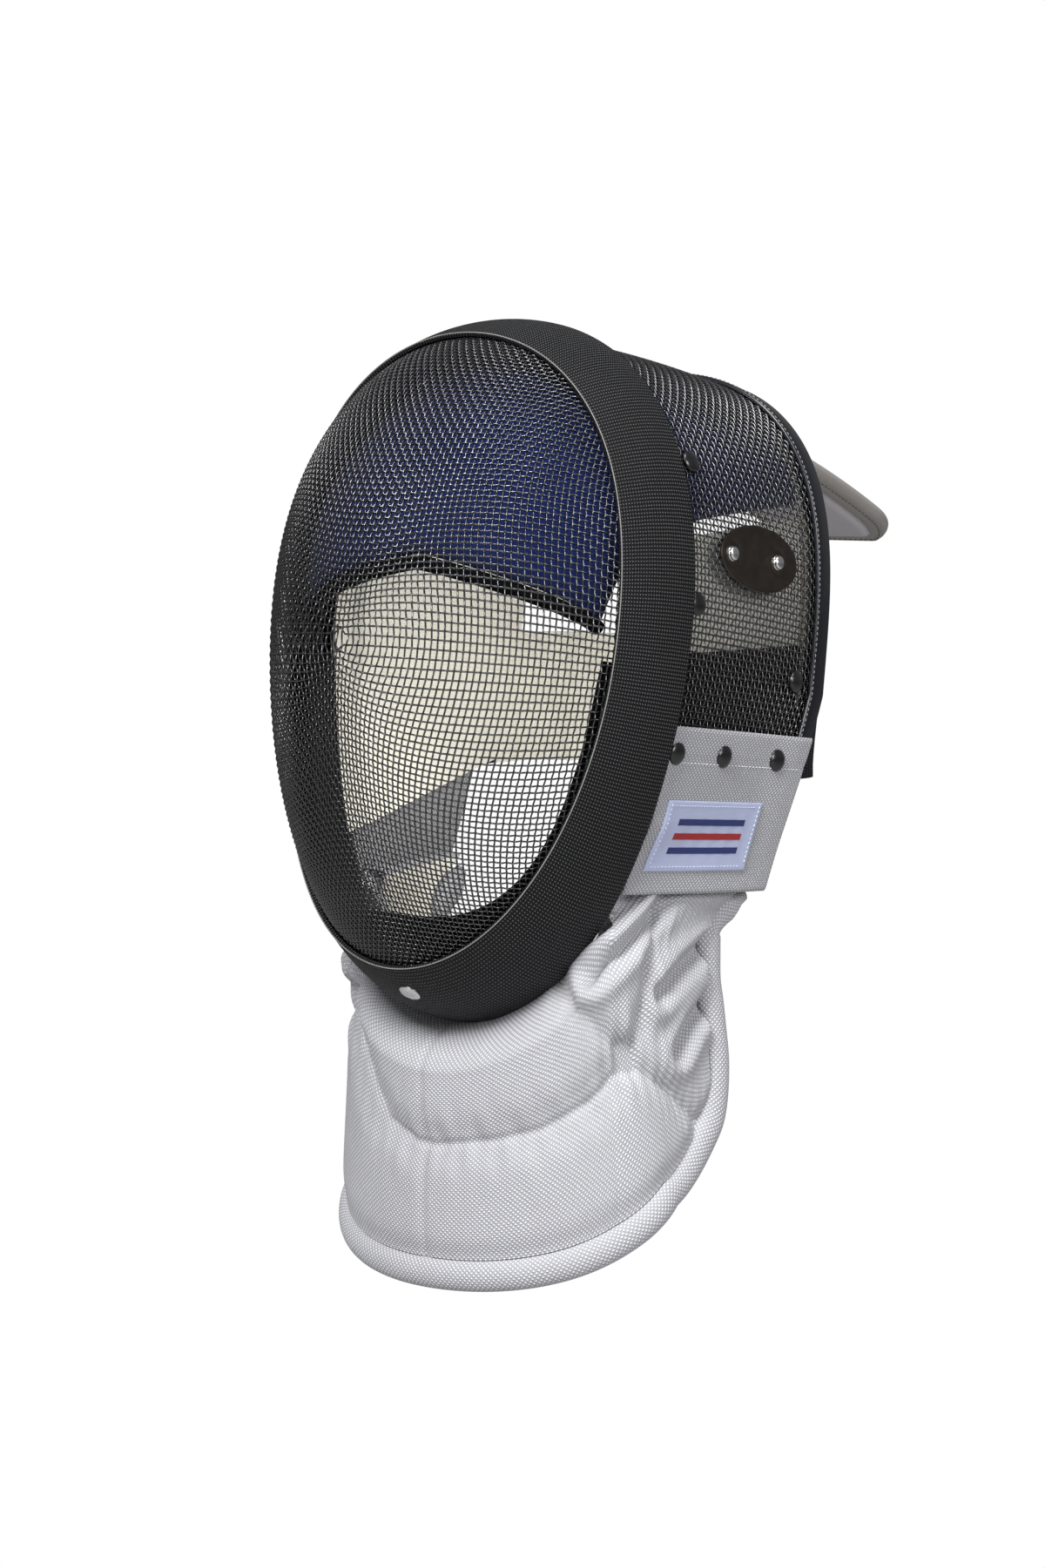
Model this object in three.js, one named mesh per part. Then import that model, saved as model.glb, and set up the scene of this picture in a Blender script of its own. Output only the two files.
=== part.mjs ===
// A fencing mask: a woven mesh face and sides, a bound rim, a padded white bib, pads, tongue and strap.
// Units are millimetres and +Z is up. The face looks along -Y, and the wearer's left is +X.
// The origin is where the crown pad meets the top of the wearer's head.
import * as THREE from 'three';

const deg = Math.PI / 180;

// Rim plane and face dome
const RIM_TILT = 8 * deg;
const RIM_HALF_WIDTH = 106.5;
const RIM_TOP = 160.3;
const RIM_BOTTOM = 167.4;
const RIM_EGG = 0.1245;
const RIM_CROWN_EGG = 0.1115;
const RIM_SADDLE = 3.1;
const FACE_DEPTH = 116.6;
const FACE_FULLNESS = 1.09;
const MESH_WALL = 2;
const CLEARANCE = 0.3;

// Bound rim band
const BAND_WALL = 1.9;
const BAND_START_SIDE = 0.743;
const BAND_START_TOP = 0.754;
const BAND_START_CHIN = 0.667;
const BAND_RETURN = 1.6;

// Rows of the face run from its foremost point, row 0, past the band's front edge, BAND_ROW, to row 1.
const BAND_ROW = 0.7;
const FACE_ROWS = [0, 0.1, 0.2, 0.3, 0.4, 0.5, 0.6, BAND_ROW, 0.8, 0.9, 1];
const BAND_ROWS = [BAND_ROW, 0.8, 0.9, 1];
const FACE_TIP = 0.004;
const FACE_END = 0.985;
const RING_COUNT = 48;

// Side mesh, from the rim back over the crown and the ears
const SIDE_INSET = 5.5;
const SIDE_END_ANGLE = 120 * deg;
const SIDE_BULGE = 0.018;
const REAR_HALF_WIDTH = 96;
const REAR_TOP = 148;
const REAR_BOTTOM = 76;
const REAR_WIDTH_POWER = 0.68;
const REAR_HEIGHT_POWER = 0.575;
const SIDE_LENGTH = 124;
const CROWN_LENGTH = 108;
const EAR_LENGTH = 104;
const BINDING_WIDTH = 10;
const BINDING_WALL = 1.8;
const BINDING_SHARE = 1 - BINDING_WIDTH / SIDE_LENGTH;
const SIDE_ROWS = [0, 0.25, 0.5, 0.75, BINDING_SHARE, 1];
const SIDE_SPANS = Math.round(SIDE_END_ANGLE / Math.PI * RING_COUNT);

// Bib round the neck
const BIB_WALL = 9;
const BIB_HALF_WIDTH = 87;
const BIB_FRONT = -51;
const BIB_CURVE_DEPTH = 61;
const BIB_REAR = 46;
const BIB_FLARE = 6;
const BIB_SETBACK = 6;
const BIB_TOP_SIDE = -98;
const BIB_TOP_RAISE = 5;
const BIB_TOP_REAR = 76;
const BIB_TOP_REAR_HALF_WIDTH = 92;
const BIB_HEM_CENTRE = -280;
const BIB_HEM_SIDE = -244;
const BIB_HEM_REAR = -206;
const BIB_CURVE_SHARE = 0.62;
const BIB_RIM_SHARE = 0.45;
const BIB_RIM_ANGLE = 130 * deg;
const BIB_SEAM_DEPTH = 3.5;
const BIB_SEAM_WIDTH = 11;
const BIB_VEE_CENTRE = -222;
const BIB_VEE_RISE = 41;
const BIB_SLANT_TOP = -148;
const BIB_SLANT_REAR = -213;
const HEM_WIDTH = 15;
const HEM_THICKNESS = 11;
const HEM_GAP = 1.08;

// Tabs that carry the bib on the side mesh
const TAB_WALL = 3;
const TAB_TOP = -24;
const TAB_TOP_RISE = 3.5;
const TAB_BOTTOM = -103;
const TAB_START = 6;
const TAB_LENGTH = SIDE_LENGTH - 7;
const TAB_FOOT_REAR = 79;
const TAB_FOOT_FORWARD = 4;
const TAB_SOFTNESS = 3;
const TAB_OVERHANG = 2.5;
const TAB_TAPER = 14;
const TAB_SEAT = 2 * CLEARANCE;
const SIDE_FOOT = -80;

// Rivets, side plate and label
const RIVET_DIAMETER = 10.5;
const RIVET_HEIGHT = 2.2;
const TAB_RIVETS = [12, 48.5, 92];
const TAB_RIVET_DROP = 12.5;
// Distance behind the rim plane and height along it
const MESH_RIVETS = [[17, 98], [15, 32], [SIDE_LENGTH - 22, 4.6]];
const PLATE_LENGTH = 64;
const PLATE_HEIGHT = 31;
const PLATE_WALL = 1.2;
const PLATE_BACK = 61.5;
const PLATE_UP = 58;
const PLATE_RIVET_SPACING = 38;
const PLATE_RIVET_SHIFT = -4;
const PLATE_RIVET_DIAMETER = 6.5;
const PLATE_LIFT = 0.6;
const LABEL_LENGTH = 70;
const LABEL_HEIGHT = 34;
const LABEL_WALL = 0.8;
const LABEL_BACK = 52.5;
const LABEL_DROP = 51;
const CHIN_RIVET_ROW = 0.785;

// Inner pads, linings, strap and tongue
const PAD_WALL = 9;
const CROWN_PAD_ANGLE = 64 * deg;
const CROWN_PAD_START = 8;
const CROWN_PAD_END = 0.9;
const FOREHEAD_WALL = 10;
const FOREHEAD_FRONT = -58;
const FOREHEAD_EDGE = 53;
const FOREHEAD_SIDE_BACK = -30;
const FOREHEAD_SIDE_EDGE = 24;
const FOREHEAD_DROOP = 0.6;
const FOREHEAD_HALF_WIDTH = 84;
const FOREHEAD_BULGE = 16;
const PAD_BINDING_DIAMETER = 7;
const CHIN_WALL = 8;
const CHIN_START_SIDE = 0.74;
const CHIN_START_CENTRE = 0.54;
const CHIN_START_POWER = 5;
const CHIN_END = 0.93;
const CHIN_PAD_ANGLE = 90 * deg;
const STRAP_WIDTH = 64;
const STRAP_WALL = 2.2;
const STRAP_TOP = 7;
const STRAP_BACK = 12;
const STRAP_END = SIDE_LENGTH + 3;
const STRAP_CORNER = 22;
const STRAP_BOW = 4;
const STRAP_RISES = [0.5, 0, -0.5];
const LINING_WALL = 1.4;
const LINING_TOP_ANGLE = 67 * deg;
const LINING_FRONT = -0.08;
const LINING_SEAT = 1.2;
const LINING_FULL_SHARE = 0.06;
const TONGUE_WIDTH = 80;
const TONGUE_WALL = 7;
const TONGUE_LENGTH = 196;
const TONGUE_START = 80;
const TONGUE_SLOPE = 11 * deg;
const TONGUE_DROOP = 17 * deg;
const TONGUE_PANEL_WALL = 3;
const TONGUE_PANEL_START = 0.12;
const TONGUE_BORDER = 12;
const TONGUE_ROUNDING = 30;
const TONGUE_SEAT = -0.75;

const colour = {
  wire: '#2b2c2e', band: '#232427', bib: '#d9d9dd', tab: '#cfd0d4', hem: '#dcdce0', label: '#a9afc9',
  plate: '#4a4038', silver: '#b9bbbd', rivet: '#141416', navy: '#1b2a66', black: '#17181a',
  cream: '#efece2', tongue: '#8d8a8b', panel: '#a39fa5', strap: '#151619',
};

// Places a point of the mask's tilted frame: x sideways, back behind the rim plane, up along it.
function place(x, back, up) {
  const y = back * Math.cos(RIM_TILT) + up * Math.sin(RIM_TILT);
  const z = -back * Math.sin(RIM_TILT) + up * Math.cos(RIM_TILT);
  return new THREE.Vector3(x, y, z);
}

function signedPower(value, power) {
  return Math.sign(value) * Math.abs(value) ** power;
}

// The rim's outline: an egg that is wider above than below. The angle runs from the top.
function rim(angle) {
  const s = Math.sin(angle);
  const c = Math.cos(angle);
  const egg = 1 + RIM_EGG * c + RIM_CROWN_EGG * c * c;
  return { x: RIM_HALF_WIDTH * s * egg, up: (c > 0 ? RIM_TOP : RIM_BOTTOM) * c };
}

// The face dome: share 0 is its foremost point and share 1 its rim.
function face(share, angle) {
  const outline = rim(angle);
  const s = Math.sin(share * Math.PI / 2);
  const k = Math.max(Math.cos(share * Math.PI / 2), 0) ** FACE_FULLNESS;
  const forward = FACE_DEPTH * k + RIM_SADDLE * Math.cos(2 * angle) * s * s;
  return place(outline.x * s, -forward, outline.up * s);
}

// The side mesh's outer face: share 0 is at the rim and share 1 at its rear edge.
function side(share, angle) {
  const outline = rim(angle);
  const c = Math.cos(angle);
  const front = {
    x: outline.x * (1 - SIDE_INSET / RIM_HALF_WIDTH),
    up: outline.up * (1 - SIDE_INSET / RIM_TOP),
    back: 1.2 * CLEARANCE - RIM_SADDLE * Math.cos(2 * angle) + BAND_RETURN * 0.2,
  };
  const crown = Math.max(c, 0) ** 2;
  const ear = Math.min(c, 0) ** 2;
  const rear = {
    x: c < 0 ? Math.sign(angle) * REAR_HALF_WIDTH * (1 - 0.06 * ear)
      : REAR_HALF_WIDTH * signedPower(Math.sin(angle), REAR_WIDTH_POWER),
    up: c < 0 ? REAR_BOTTOM * c : REAR_TOP * c ** REAR_HEIGHT_POWER,
    back: SIDE_LENGTH + (CROWN_LENGTH - SIDE_LENGTH) * crown - (SIDE_LENGTH - EAR_LENGTH) * Math.max(-c, 0),
  };
  const swell = 1 + 4 * SIDE_BULGE * share * (1 - share);
  return place(
    THREE.MathUtils.lerp(front.x, rear.x, share) * swell,
    THREE.MathUtils.lerp(front.back, rear.back, share),
    THREE.MathUtils.lerp(front.up, rear.up, share) * swell,
  );
}

// The unit normal of a surface function at two shares, on the side away from its hollow.
function normalOf(surface, u, v, outward) {
  const step = 1e-3;
  const du = surface(u + step, v).sub(surface(u - step, v));
  const dv = surface(u, v + step).sub(surface(u, v - step));
  const normal = du.cross(dv).normalize();
  return normal.dot(outward(surface(u, v))) < 0 ? normal.negate() : normal;
}

// A surface moved along its normal by a distance.
function offset(surface, distance, outward) {
  return (u, v) => surface(u, v).addScaledVector(normalOf(surface, u, v, outward), distance);
}

const awayFromHead = (p) => new THREE.Vector3(p.x, p.y - 20, p.z);
const awayFromNeck = (p) => new THREE.Vector3(p.x, p.y - 20, 0);

// Joins a list of vertices and triangles into a closed mesh whose faces point out.
function solid(points, faces) {
  let volume = 0;
  for (const [a, b, c] of faces) {
    volume += points[a].dot(points[b].clone().cross(points[c]));
  }
  const geometry = new THREE.BufferGeometry();
  const position = new Float32Array(points.flatMap((p) => [p.x, p.y, p.z]));
  geometry.setAttribute('position', new THREE.BufferAttribute(position, 3));
  geometry.setIndex(faces.flatMap(([a, b, c]) => (volume > 0 ? [a, b, c] : [a, c, b])));
  geometry.computeVertexNormals();
  return geometry;
}

// A wall between an outer and an inner surface. A ring wall closes on itself along v, and a
// pole wall draws its first row together into one point.
function wall(outer, inner, uShares, vShares, { ring = false, pole = false } = {}) {
  const points = [];
  const layers = [outer, inner].map((surface) => uShares.map((u, i) => {
    if (pole && i === 0) {
      points.push(surface(u, vShares[0]));
      return vShares.map(() => points.length - 1);
    }
    return vShares.map((v) => points.push(surface(u, v)) - 1);
  }));
  const faces = [];
  const quad = (a, b, c, d) => {
    if (a !== b && b !== c && a !== c) faces.push([a, b, c]);
    if (a !== c && c !== d && a !== d) faces.push([a, c, d]);
  };
  const last = uShares.length - 1;
  const count = vShares.length;
  const spans = ring ? count : count - 1;
  for (let j = 0; j < spans; j += 1) {
    const k = (j + 1) % count;
    for (let i = 0; i < last; i += 1) {
      quad(layers[0][i][j], layers[0][i + 1][j], layers[0][i + 1][k], layers[0][i][k]);
      quad(layers[1][i][j], layers[1][i][k], layers[1][i + 1][k], layers[1][i + 1][j]);
    }
    quad(layers[0][last][j], layers[1][last][j], layers[1][last][k], layers[0][last][k]);
    if (!pole) quad(layers[0][0][k], layers[1][0][k], layers[1][0][j], layers[0][0][j]);
  }
  if (!ring) {
    for (let i = 0; i < last; i += 1) {
      quad(layers[0][i][0], layers[1][i][0], layers[1][i + 1][0], layers[0][i + 1][0]);
      const e = count - 1;
      quad(layers[0][i + 1][e], layers[1][i + 1][e], layers[1][i][e], layers[0][i][e]);
    }
  }
  return solid(points, faces);
}

// A bar through closed sections, one section for each station.
function bar(sections, { ring = false } = {}) {
  const points = sections.flat();
  const size = sections[0].length;
  const faces = [];
  const spans = ring ? sections.length : sections.length - 1;
  for (let i = 0; i < spans; i += 1) {
    const n = (i + 1) % sections.length;
    for (let j = 0; j < size; j += 1) {
      const k = (j + 1) % size;
      faces.push([i * size + j, n * size + j, n * size + k]);
      faces.push([i * size + j, n * size + k, i * size + k]);
    }
  }
  if (!ring) {
    const last = sections.length - 1;
    faces.push(...THREE.ShapeUtils.triangulateShape(profilePlane(sections[0]), []));
    const closing = THREE.ShapeUtils.triangulateShape(profilePlane(sections[last]), []);
    for (const [a, b, c] of closing) faces.push([last * size + c, last * size + b, last * size + a]);
  }
  return solid(points, orient(faces));
}

// The points of a section in its own plane, for closing its end.
function profilePlane(section) {
  const origin = section[0];
  const normal = new THREE.Vector3();
  section.forEach((p, i) => {
    const q = section[(i + 1) % section.length];
    normal.add(p.clone().sub(origin).cross(q.clone().sub(origin)));
  });
  normal.normalize();
  const across = section[1].clone().sub(origin);
  across.addScaledVector(normal, -across.dot(normal)).normalize();
  const along = normal.clone().cross(across);
  return section.map((p) => {
    const from = p.clone().sub(origin);
    return new THREE.Vector2(from.dot(across), from.dot(along));
  });
}

// Turns triangles so that each edge is used once in each direction.
function orient(faces) {
  const edges = new Map();
  const key = (a, b) => (a < b ? `${a},${b}` : `${b},${a}`);
  faces.forEach((face, i) => {
    face.forEach((a, j) => {
      const name = key(a, face[(j + 1) % 3]);
      if (!edges.has(name)) edges.set(name, []);
      edges.get(name).push(i);
    });
  });
  const has = (face, a, b) => face.some((p, j) => p === a && face[(j + 1) % 3] === b);
  const done = new Set([0]);
  const queue = [0];
  while (queue.length) {
    const i = queue.pop();
    faces[i].slice().forEach((a, j, face) => {
      const b = face[(j + 1) % 3];
      for (const n of edges.get(key(a, b))) {
        if (done.has(n)) continue;
        if (has(faces[n], a, b)) faces[n].reverse();
        done.add(n);
        queue.push(n);
      }
    });
  }
  return faces;
}

function shares(count, from = 0, to = 1) {
  return Array.from({ length: count + 1 }, (_, i) => from + (to - from) * i / count);
}

function ringAngles(count) {
  return Array.from({ length: count }, (_, i) => 2 * Math.PI * i / count);
}

const mask = new THREE.Group();

function add(name, geometry, tint, roughness, metalness = 0) {
  const material = new THREE.MeshStandardMaterial({ color: tint, roughness, metalness });
  const mesh = new THREE.Mesh(geometry, material);
  mesh.name = name;
  mask.add(mesh);
  return mesh;
}

// Face mesh and rim band
function bandStart(angle) {
  const c = Math.cos(angle);
  const towards = c > 0 ? BAND_START_TOP : BAND_START_CHIN;
  return THREE.MathUtils.lerp(BAND_START_SIDE, towards, c * c);
}

function faceRow(distance) {
  const surface = offset(face, distance, awayFromHead);
  return (row, angle) => {
    const start = bandStart(angle);
    const share = row < BAND_ROW ? THREE.MathUtils.lerp(FACE_TIP, start, row / BAND_ROW)
      : THREE.MathUtils.lerp(start, FACE_END, (row - BAND_ROW) / (1 - BAND_ROW));
    return surface(share, angle);
  };
}

const meshDepth = BAND_WALL / 2 + CLEARANCE;
const meshOuter = faceRow(-meshDepth);
const meshInner = faceRow(-meshDepth - MESH_WALL);

function makeFaceMesh() {
  const options = { ring: true, pole: true };
  const dome = wall(meshOuter, meshInner, FACE_ROWS, ringAngles(RING_COUNT), options);
  add('front_mesh', dome, colour.wire, 0.5, 0.6);
}

function makeBand() {
  const bandFace = faceRow(BAND_WALL / 2);
  const bandBack = faceRow(-BAND_WALL / 2);
  const back = place(0, 1, 0);
  const sections = ringAngles(RING_COUNT).map((angle) => {
    const rear = face(1, angle);
    const seat = side(0, angle);
    const inward = seat.clone().sub(rear).normalize();
    const shoulder = rear.addScaledVector(inward, -BAND_WALL / 2).addScaledVector(back, BAND_RETURN * 0.7);
    const lip = seat.clone().addScaledVector(inward, -CLEARANCE);
    const lipRear = lip.clone().addScaledVector(back, BAND_RETURN);
    return [
      ...BAND_ROWS.map((row) => bandFace(row, angle)), shoulder, lipRear, lip,
      ...BAND_ROWS.slice().reverse().map((row) => bandBack(row, angle)),
    ];
  });
  add('rim_band', bar(sections, { ring: true }), colour.band, 0.85);
}

// Side mesh and the binding of its rear edge
const sideInner = offset(side, -MESH_WALL, awayFromHead);
const sideAngles = shares(SIDE_SPANS, -SIDE_END_ANGLE, SIDE_END_ANGLE);

function makeSideMesh() {
  add('side_mesh', wall(side, sideInner, SIDE_ROWS, sideAngles), colour.wire, 0.5, 0.6);
}

function makeRearBinding() {
  const gap = CLEARANCE;
  const sections = sideAngles.map((angle) => {
    const edge = side(1, angle);
    const back = edge.clone().sub(side(BINDING_SHARE, angle)).normalize();
    const out = normalOf(side, 0.99, angle, awayFromHead);
    const at = (along, across) => edge.clone().addScaledVector(back, along).addScaledVector(out, across);
    const outer = gap + BINDING_WALL;
    const inner = -MESH_WALL - gap - BINDING_WALL;
    return [
      at(-BINDING_WIDTH, outer), at(gap + BINDING_WALL, outer), at(gap + BINDING_WALL, inner),
      at(-BINDING_WIDTH, inner), at(-BINDING_WIDTH, -MESH_WALL - gap), at(gap, -MESH_WALL - gap),
      at(gap, gap), at(-BINDING_WIDTH, gap),
    ];
  });
  add('rear_binding', bar(sections), colour.band, 0.6);
}

// Bib: station -1 is its right rear edge, 0 the chin and 1 its left rear edge.
// Level 0 is its sewn top edge and level 1 its hem.
function bibTop(station, rear = BIB_TOP_REAR) {
  const t = Math.abs(station);
  const hand = Math.sign(station) || 1;
  if (t < BIB_RIM_SHARE) {
    const angle = THREE.MathUtils.lerp(Math.PI, BIB_RIM_ANGLE, t / BIB_RIM_SHARE);
    const edge = side(0, angle);
    const raise = 1 + BIB_TOP_RAISE * THREE.MathUtils.smoothstep(t / BIB_RIM_SHARE, 0.7, 1);
    return new THREE.Vector3(hand * Math.abs(edge.x), edge.y + BIB_SETBACK, edge.z + raise);
  }
  const start = side(0, BIB_RIM_ANGLE);
  const k = (t - BIB_RIM_SHARE) / (1 - BIB_RIM_SHARE);
  const bow = Math.sin(k * Math.PI / 2);
  return new THREE.Vector3(
    hand * THREE.MathUtils.lerp(Math.abs(start.x), BIB_TOP_REAR_HALF_WIDTH, bow),
    THREE.MathUtils.lerp(start.y + BIB_SETBACK, rear, k),
    THREE.MathUtils.lerp(start.z + 1 + BIB_TOP_RAISE, BIB_TOP_SIDE, Math.min(k * 3, 1)),
  );
}

function bibHemHeight(station) {
  const t = Math.abs(station);
  const curved = Math.min(t / BIB_CURVE_SHARE, 1);
  const straight = Math.max((t - BIB_CURVE_SHARE) / (1 - BIB_CURVE_SHARE), 0);
  const front = BIB_HEM_CENTRE + (BIB_HEM_SIDE - BIB_HEM_CENTRE) * curved ** 2.2;
  return front + (BIB_HEM_REAR - BIB_HEM_SIDE) * straight ** 1.5;
}

function bibPlan(station) {
  const t = Math.abs(station);
  const hand = Math.sign(station) || 1;
  const centre = BIB_FRONT + BIB_CURVE_DEPTH;
  if (t < BIB_CURVE_SHARE) {
    const turn = t / BIB_CURVE_SHARE * Math.PI / 2;
    const x = hand * BIB_HALF_WIDTH * Math.sin(turn);
    return { x, y: centre - BIB_CURVE_DEPTH * Math.cos(turn) };
  }
  const k = (t - BIB_CURVE_SHARE) / (1 - BIB_CURVE_SHARE);
  return { x: hand * BIB_HALF_WIDTH, y: THREE.MathUtils.lerp(centre, BIB_REAR, k) };
}

// How deep the quilting pulls the bib in: a V across the front and one slanting seam a side.
function bibSeam(level, station) {
  const t = Math.abs(station);
  const height = THREE.MathUtils.lerp(bibTop(station).z, bibHemHeight(station), level);
  const turn = t / BIB_CURVE_SHARE;
  const vee = BIB_VEE_CENTRE + BIB_VEE_RISE * (turn / 0.81) ** 2.2;
  const slantShare = (t - 0.37) / (0.93 - 0.37);
  const slant = THREE.MathUtils.lerp(BIB_SLANT_TOP, BIB_SLANT_REAR, Math.abs(slantShare) ** 0.8);
  const groove = (distance) => Math.exp(-((distance / BIB_SEAM_WIDTH) ** 2));
  const veePart = turn < 0.81 ? groove(height - vee) : 0;
  const slantPart = slantShare >= 0 ? groove(height - slant) * 0.8 : 0;
  return Math.max(veePart, slantPart, groove((level - 0.95) * 120) * 0.6);
}

function bibBody(level, station) {
  const top = bibTop(station);
  const plan = bibPlan(station);
  const mix = THREE.MathUtils.smoothstep(level, 0, 0.24);
  const flare = 1 + BIB_FLARE / BIB_HALF_WIDTH * Math.max(level - 0.5, 0) * 2;
  return new THREE.Vector3(
    THREE.MathUtils.lerp(top.x, plan.x * flare, mix),
    THREE.MathUtils.lerp(top.y, plan.y, mix),
    THREE.MathUtils.lerp(top.z, bibHemHeight(station), level),
  );
}

const bibInner = offset(bibBody, -BIB_WALL, awayFromNeck);
const bibOuter = (level, station) => {
  const normal = normalOf(bibBody, level, station, awayFromNeck);
  return bibBody(level, station).addScaledVector(normal, -BIB_SEAM_DEPTH * bibSeam(level, station));
};

function makeBib() {
  const levels = [0.02, 0.08, 0.16, 0.25, 0.34, 0.42, 0.5, 0.58, 0.68, 0.78, 0.88, 0.95];
  add('bib', wall(bibOuter, bibInner, levels, shares(38, -0.985, 0.985)), colour.bib, 0.9);
}

// The rolled hem follows the bib's lower edge and climbs both rear edges.
function makeHem() {
  const hemLevel = 0.95;
  const path = [];
  const rise = [0.05, 0.11, 0.18, 0.28, 0.42, 0.56, 0.7, 0.83];
  for (const level of rise) path.push([level, -1]);
  for (const station of shares(40, -0.97, 0.97)) path.push([hemLevel, station]);
  for (const level of rise.slice().reverse()) path.push([level, 1]);
  const half = HEM_WIDTH / 2;
  const middle = path.map(([level, station]) => {
    const normal = normalOf(bibBody, level, station * 0.98, awayFromNeck);
    const point = bibBody(level, station).addScaledVector(normal, -BIB_WALL / 2);
    return { point, normal };
  });
  const sections = middle.map(({ point, normal }, i) => {
    const before = middle[Math.max(i - 1, 0)].point;
    const after = middle[Math.min(i + 1, middle.length - 1)].point;
    const along = after.clone().sub(before).normalize();
    const down = along.clone().cross(normal).normalize();
    const centre = point.clone().addScaledVector(down, half + HEM_GAP);
    return ringAngles(8).map((turn) => centre.clone()
      .addScaledVector(down, half * Math.cos(turn))
      .addScaledVector(normal, HEM_THICKNESS / 2 * Math.sin(turn)));
  });
  add('bib_hem', bar(sections), colour.hem, 0.9);
}

function softMax(a, b, softness) {
  return (a + b + Math.hypot(a - b, softness) - softness) / 2;
}

// Tabs that hang on the side mesh, pass over its rear binding and carry the bib.
// Level 0 is a tab's top edge and level 1 its foot; reach runs from the rim to its rear edge.
function tabBody(distance) {
  return (level, reach) => {
    const overBinding = THREE.MathUtils.smoothstep(reach, 0.7, 0.93) * (BINDING_WALL + CLEARANCE);
    const back = THREE.MathUtils.lerp(TAB_START, TAB_LENGTH, reach);
    const top = TAB_TOP + TAB_TOP_RISE * reach;
    const upper = onSide(back, top, 1, distance + overBinding);
    const station = THREE.MathUtils.lerp(BIB_RIM_SHARE, 1, 0.04 + 0.96 * reach);
    const foot = bibTop(station, TAB_FOOT_REAR);
    foot.addScaledVector(normalOf(bibBody, 0.03, station, awayFromNeck), distance + TAB_OVERHANG);
    foot.y -= TAB_FOOT_FORWARD * (1 - reach);
    foot.z = TAB_BOTTOM - 4 * reach;
    const point = upper.clone().lerp(foot, level);
    const drapeUp = THREE.MathUtils.lerp(top, SIDE_FOOT, level);
    const drape = onSide(back - TAB_TAPER * level, drapeUp, 1, distance + overBinding);
    const leave = THREE.MathUtils.smoothstep(level, 0.55, 1);
    point.x = softMax(point.x, THREE.MathUtils.lerp(drape.x, foot.x, leave), TAB_SOFTNESS);
    return point;
  };
}

// A point of the side mesh's outer face at a distance behind the rim plane and a height along it.
function onSide(back, up, hand, distance) {
  const backOf = (p) => p.y * Math.cos(RIM_TILT) - p.z * Math.sin(RIM_TILT);
  const upOf = (p) => p.y * Math.sin(RIM_TILT) + p.z * Math.cos(RIM_TILT);
  let share = back / SIDE_LENGTH;
  let angle = Math.PI / 2;
  for (let i = 0; i < 6; i += 1) {
    let low = 0;
    let high = SIDE_END_ANGLE + 25 * deg;
    while (high - low > 1e-6) {
      angle = (low + high) / 2;
      if (upOf(side(share, angle)) > up) low = angle;
      else high = angle;
    }
    share += (back - backOf(side(share, angle))) / SIDE_LENGTH;
  }
  const normal = normalOf(side, share, angle, awayFromHead);
  const point = side(share, angle).addScaledVector(normal, distance);
  point.x *= hand;
  return point;
}

function sideFrame(back, up, hand, distance) {
  const centre = onSide(back, up, hand, distance);
  const along = onSide(back + 1, up, hand, distance).sub(centre).normalize();
  const out = centre.clone().sub(onSide(back, up, hand, distance - 1)).normalize();
  const over = out.clone().cross(along).normalize();
  if (over.z < 0) over.negate();
  return { centre, along, over, out };
}

function mirrored(surface, hand) {
  return (u, v) => {
    const p = surface(u, v);
    p.x *= hand;
    return p;
  };
}

// The seat of a small piece on a surface function, its normal pointing away from the head.
function seatOn(surface, u, v, outward, hand = 1) {
  const centre = surface(u, v);
  const out = normalOf(surface, u, v, outward);
  const along = surface(u, v + 0.01).sub(centre);
  along.addScaledVector(out, -along.dot(out)).normalize();
  const over = out.clone().cross(along);
  if (over.z < 0) over.negate();
  centre.addScaledVector(out, CLEARANCE);
  for (const vector of [centre, out, along, over]) vector.x *= hand;
  return { centre, along, over, out };
}

function makeTabs() {
  for (const [name, hand] of [['left', 1], ['right', -1]]) {
    const inner = mirrored(tabBody(TAB_SEAT), hand);
    const outer = mirrored(tabBody(TAB_SEAT + TAB_WALL), hand);
    add(`tab_${name}`, wall(outer, inner, shares(7), shares(10)), colour.tab, 0.9);
  }
}

// A rivet head: a low dome standing on the surface that it holds.
function rivet(name, frame, diameter, tint, metalness) {
  const radius = diameter / 2;
  const profile = [[0, 0], [radius, 0], [radius, 0.35], [radius * 0.8, 0.8], [0, 1]];
  const points = profile.map(([r, h]) => new THREE.Vector2(r, h * (h > 0.5 ? RIVET_HEIGHT : 1)));
  const geometry = new THREE.LatheGeometry(points, 10);
  const across = frame.out.clone().cross(frame.over).normalize();
  geometry.applyMatrix4(new THREE.Matrix4().makeBasis(across, frame.out, across.clone().cross(frame.out)));
  geometry.translate(frame.centre.x, frame.centre.y, frame.centre.z);
  add(name, geometry, tint, 0.35, metalness);
}

function makeRivets() {
  for (const [name, hand] of [['left', 1], ['right', -1]]) {
    TAB_RIVETS.forEach((back, i) => {
      const reach = (back - TAB_START) / (TAB_LENGTH - TAB_START);
      const level = TAB_RIVET_DROP / (TAB_TOP - TAB_BOTTOM);
      const frame = seatOn(tabBody(TAB_SEAT + TAB_WALL), level, reach, awayFromHead, hand);
      rivet(`tab_rivet_${name}_${i + 1}`, frame, RIVET_DIAMETER, colour.rivet, 0.4);
    });
    MESH_RIVETS.forEach(([back, up], i) => {
      const frame = sideFrame(back, up, hand, 2 * CLEARANCE);
      rivet(`mesh_rivet_${name}_${i + 1}`, frame, RIVET_DIAMETER, colour.rivet, 0.4);
    });
  }
}

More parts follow.
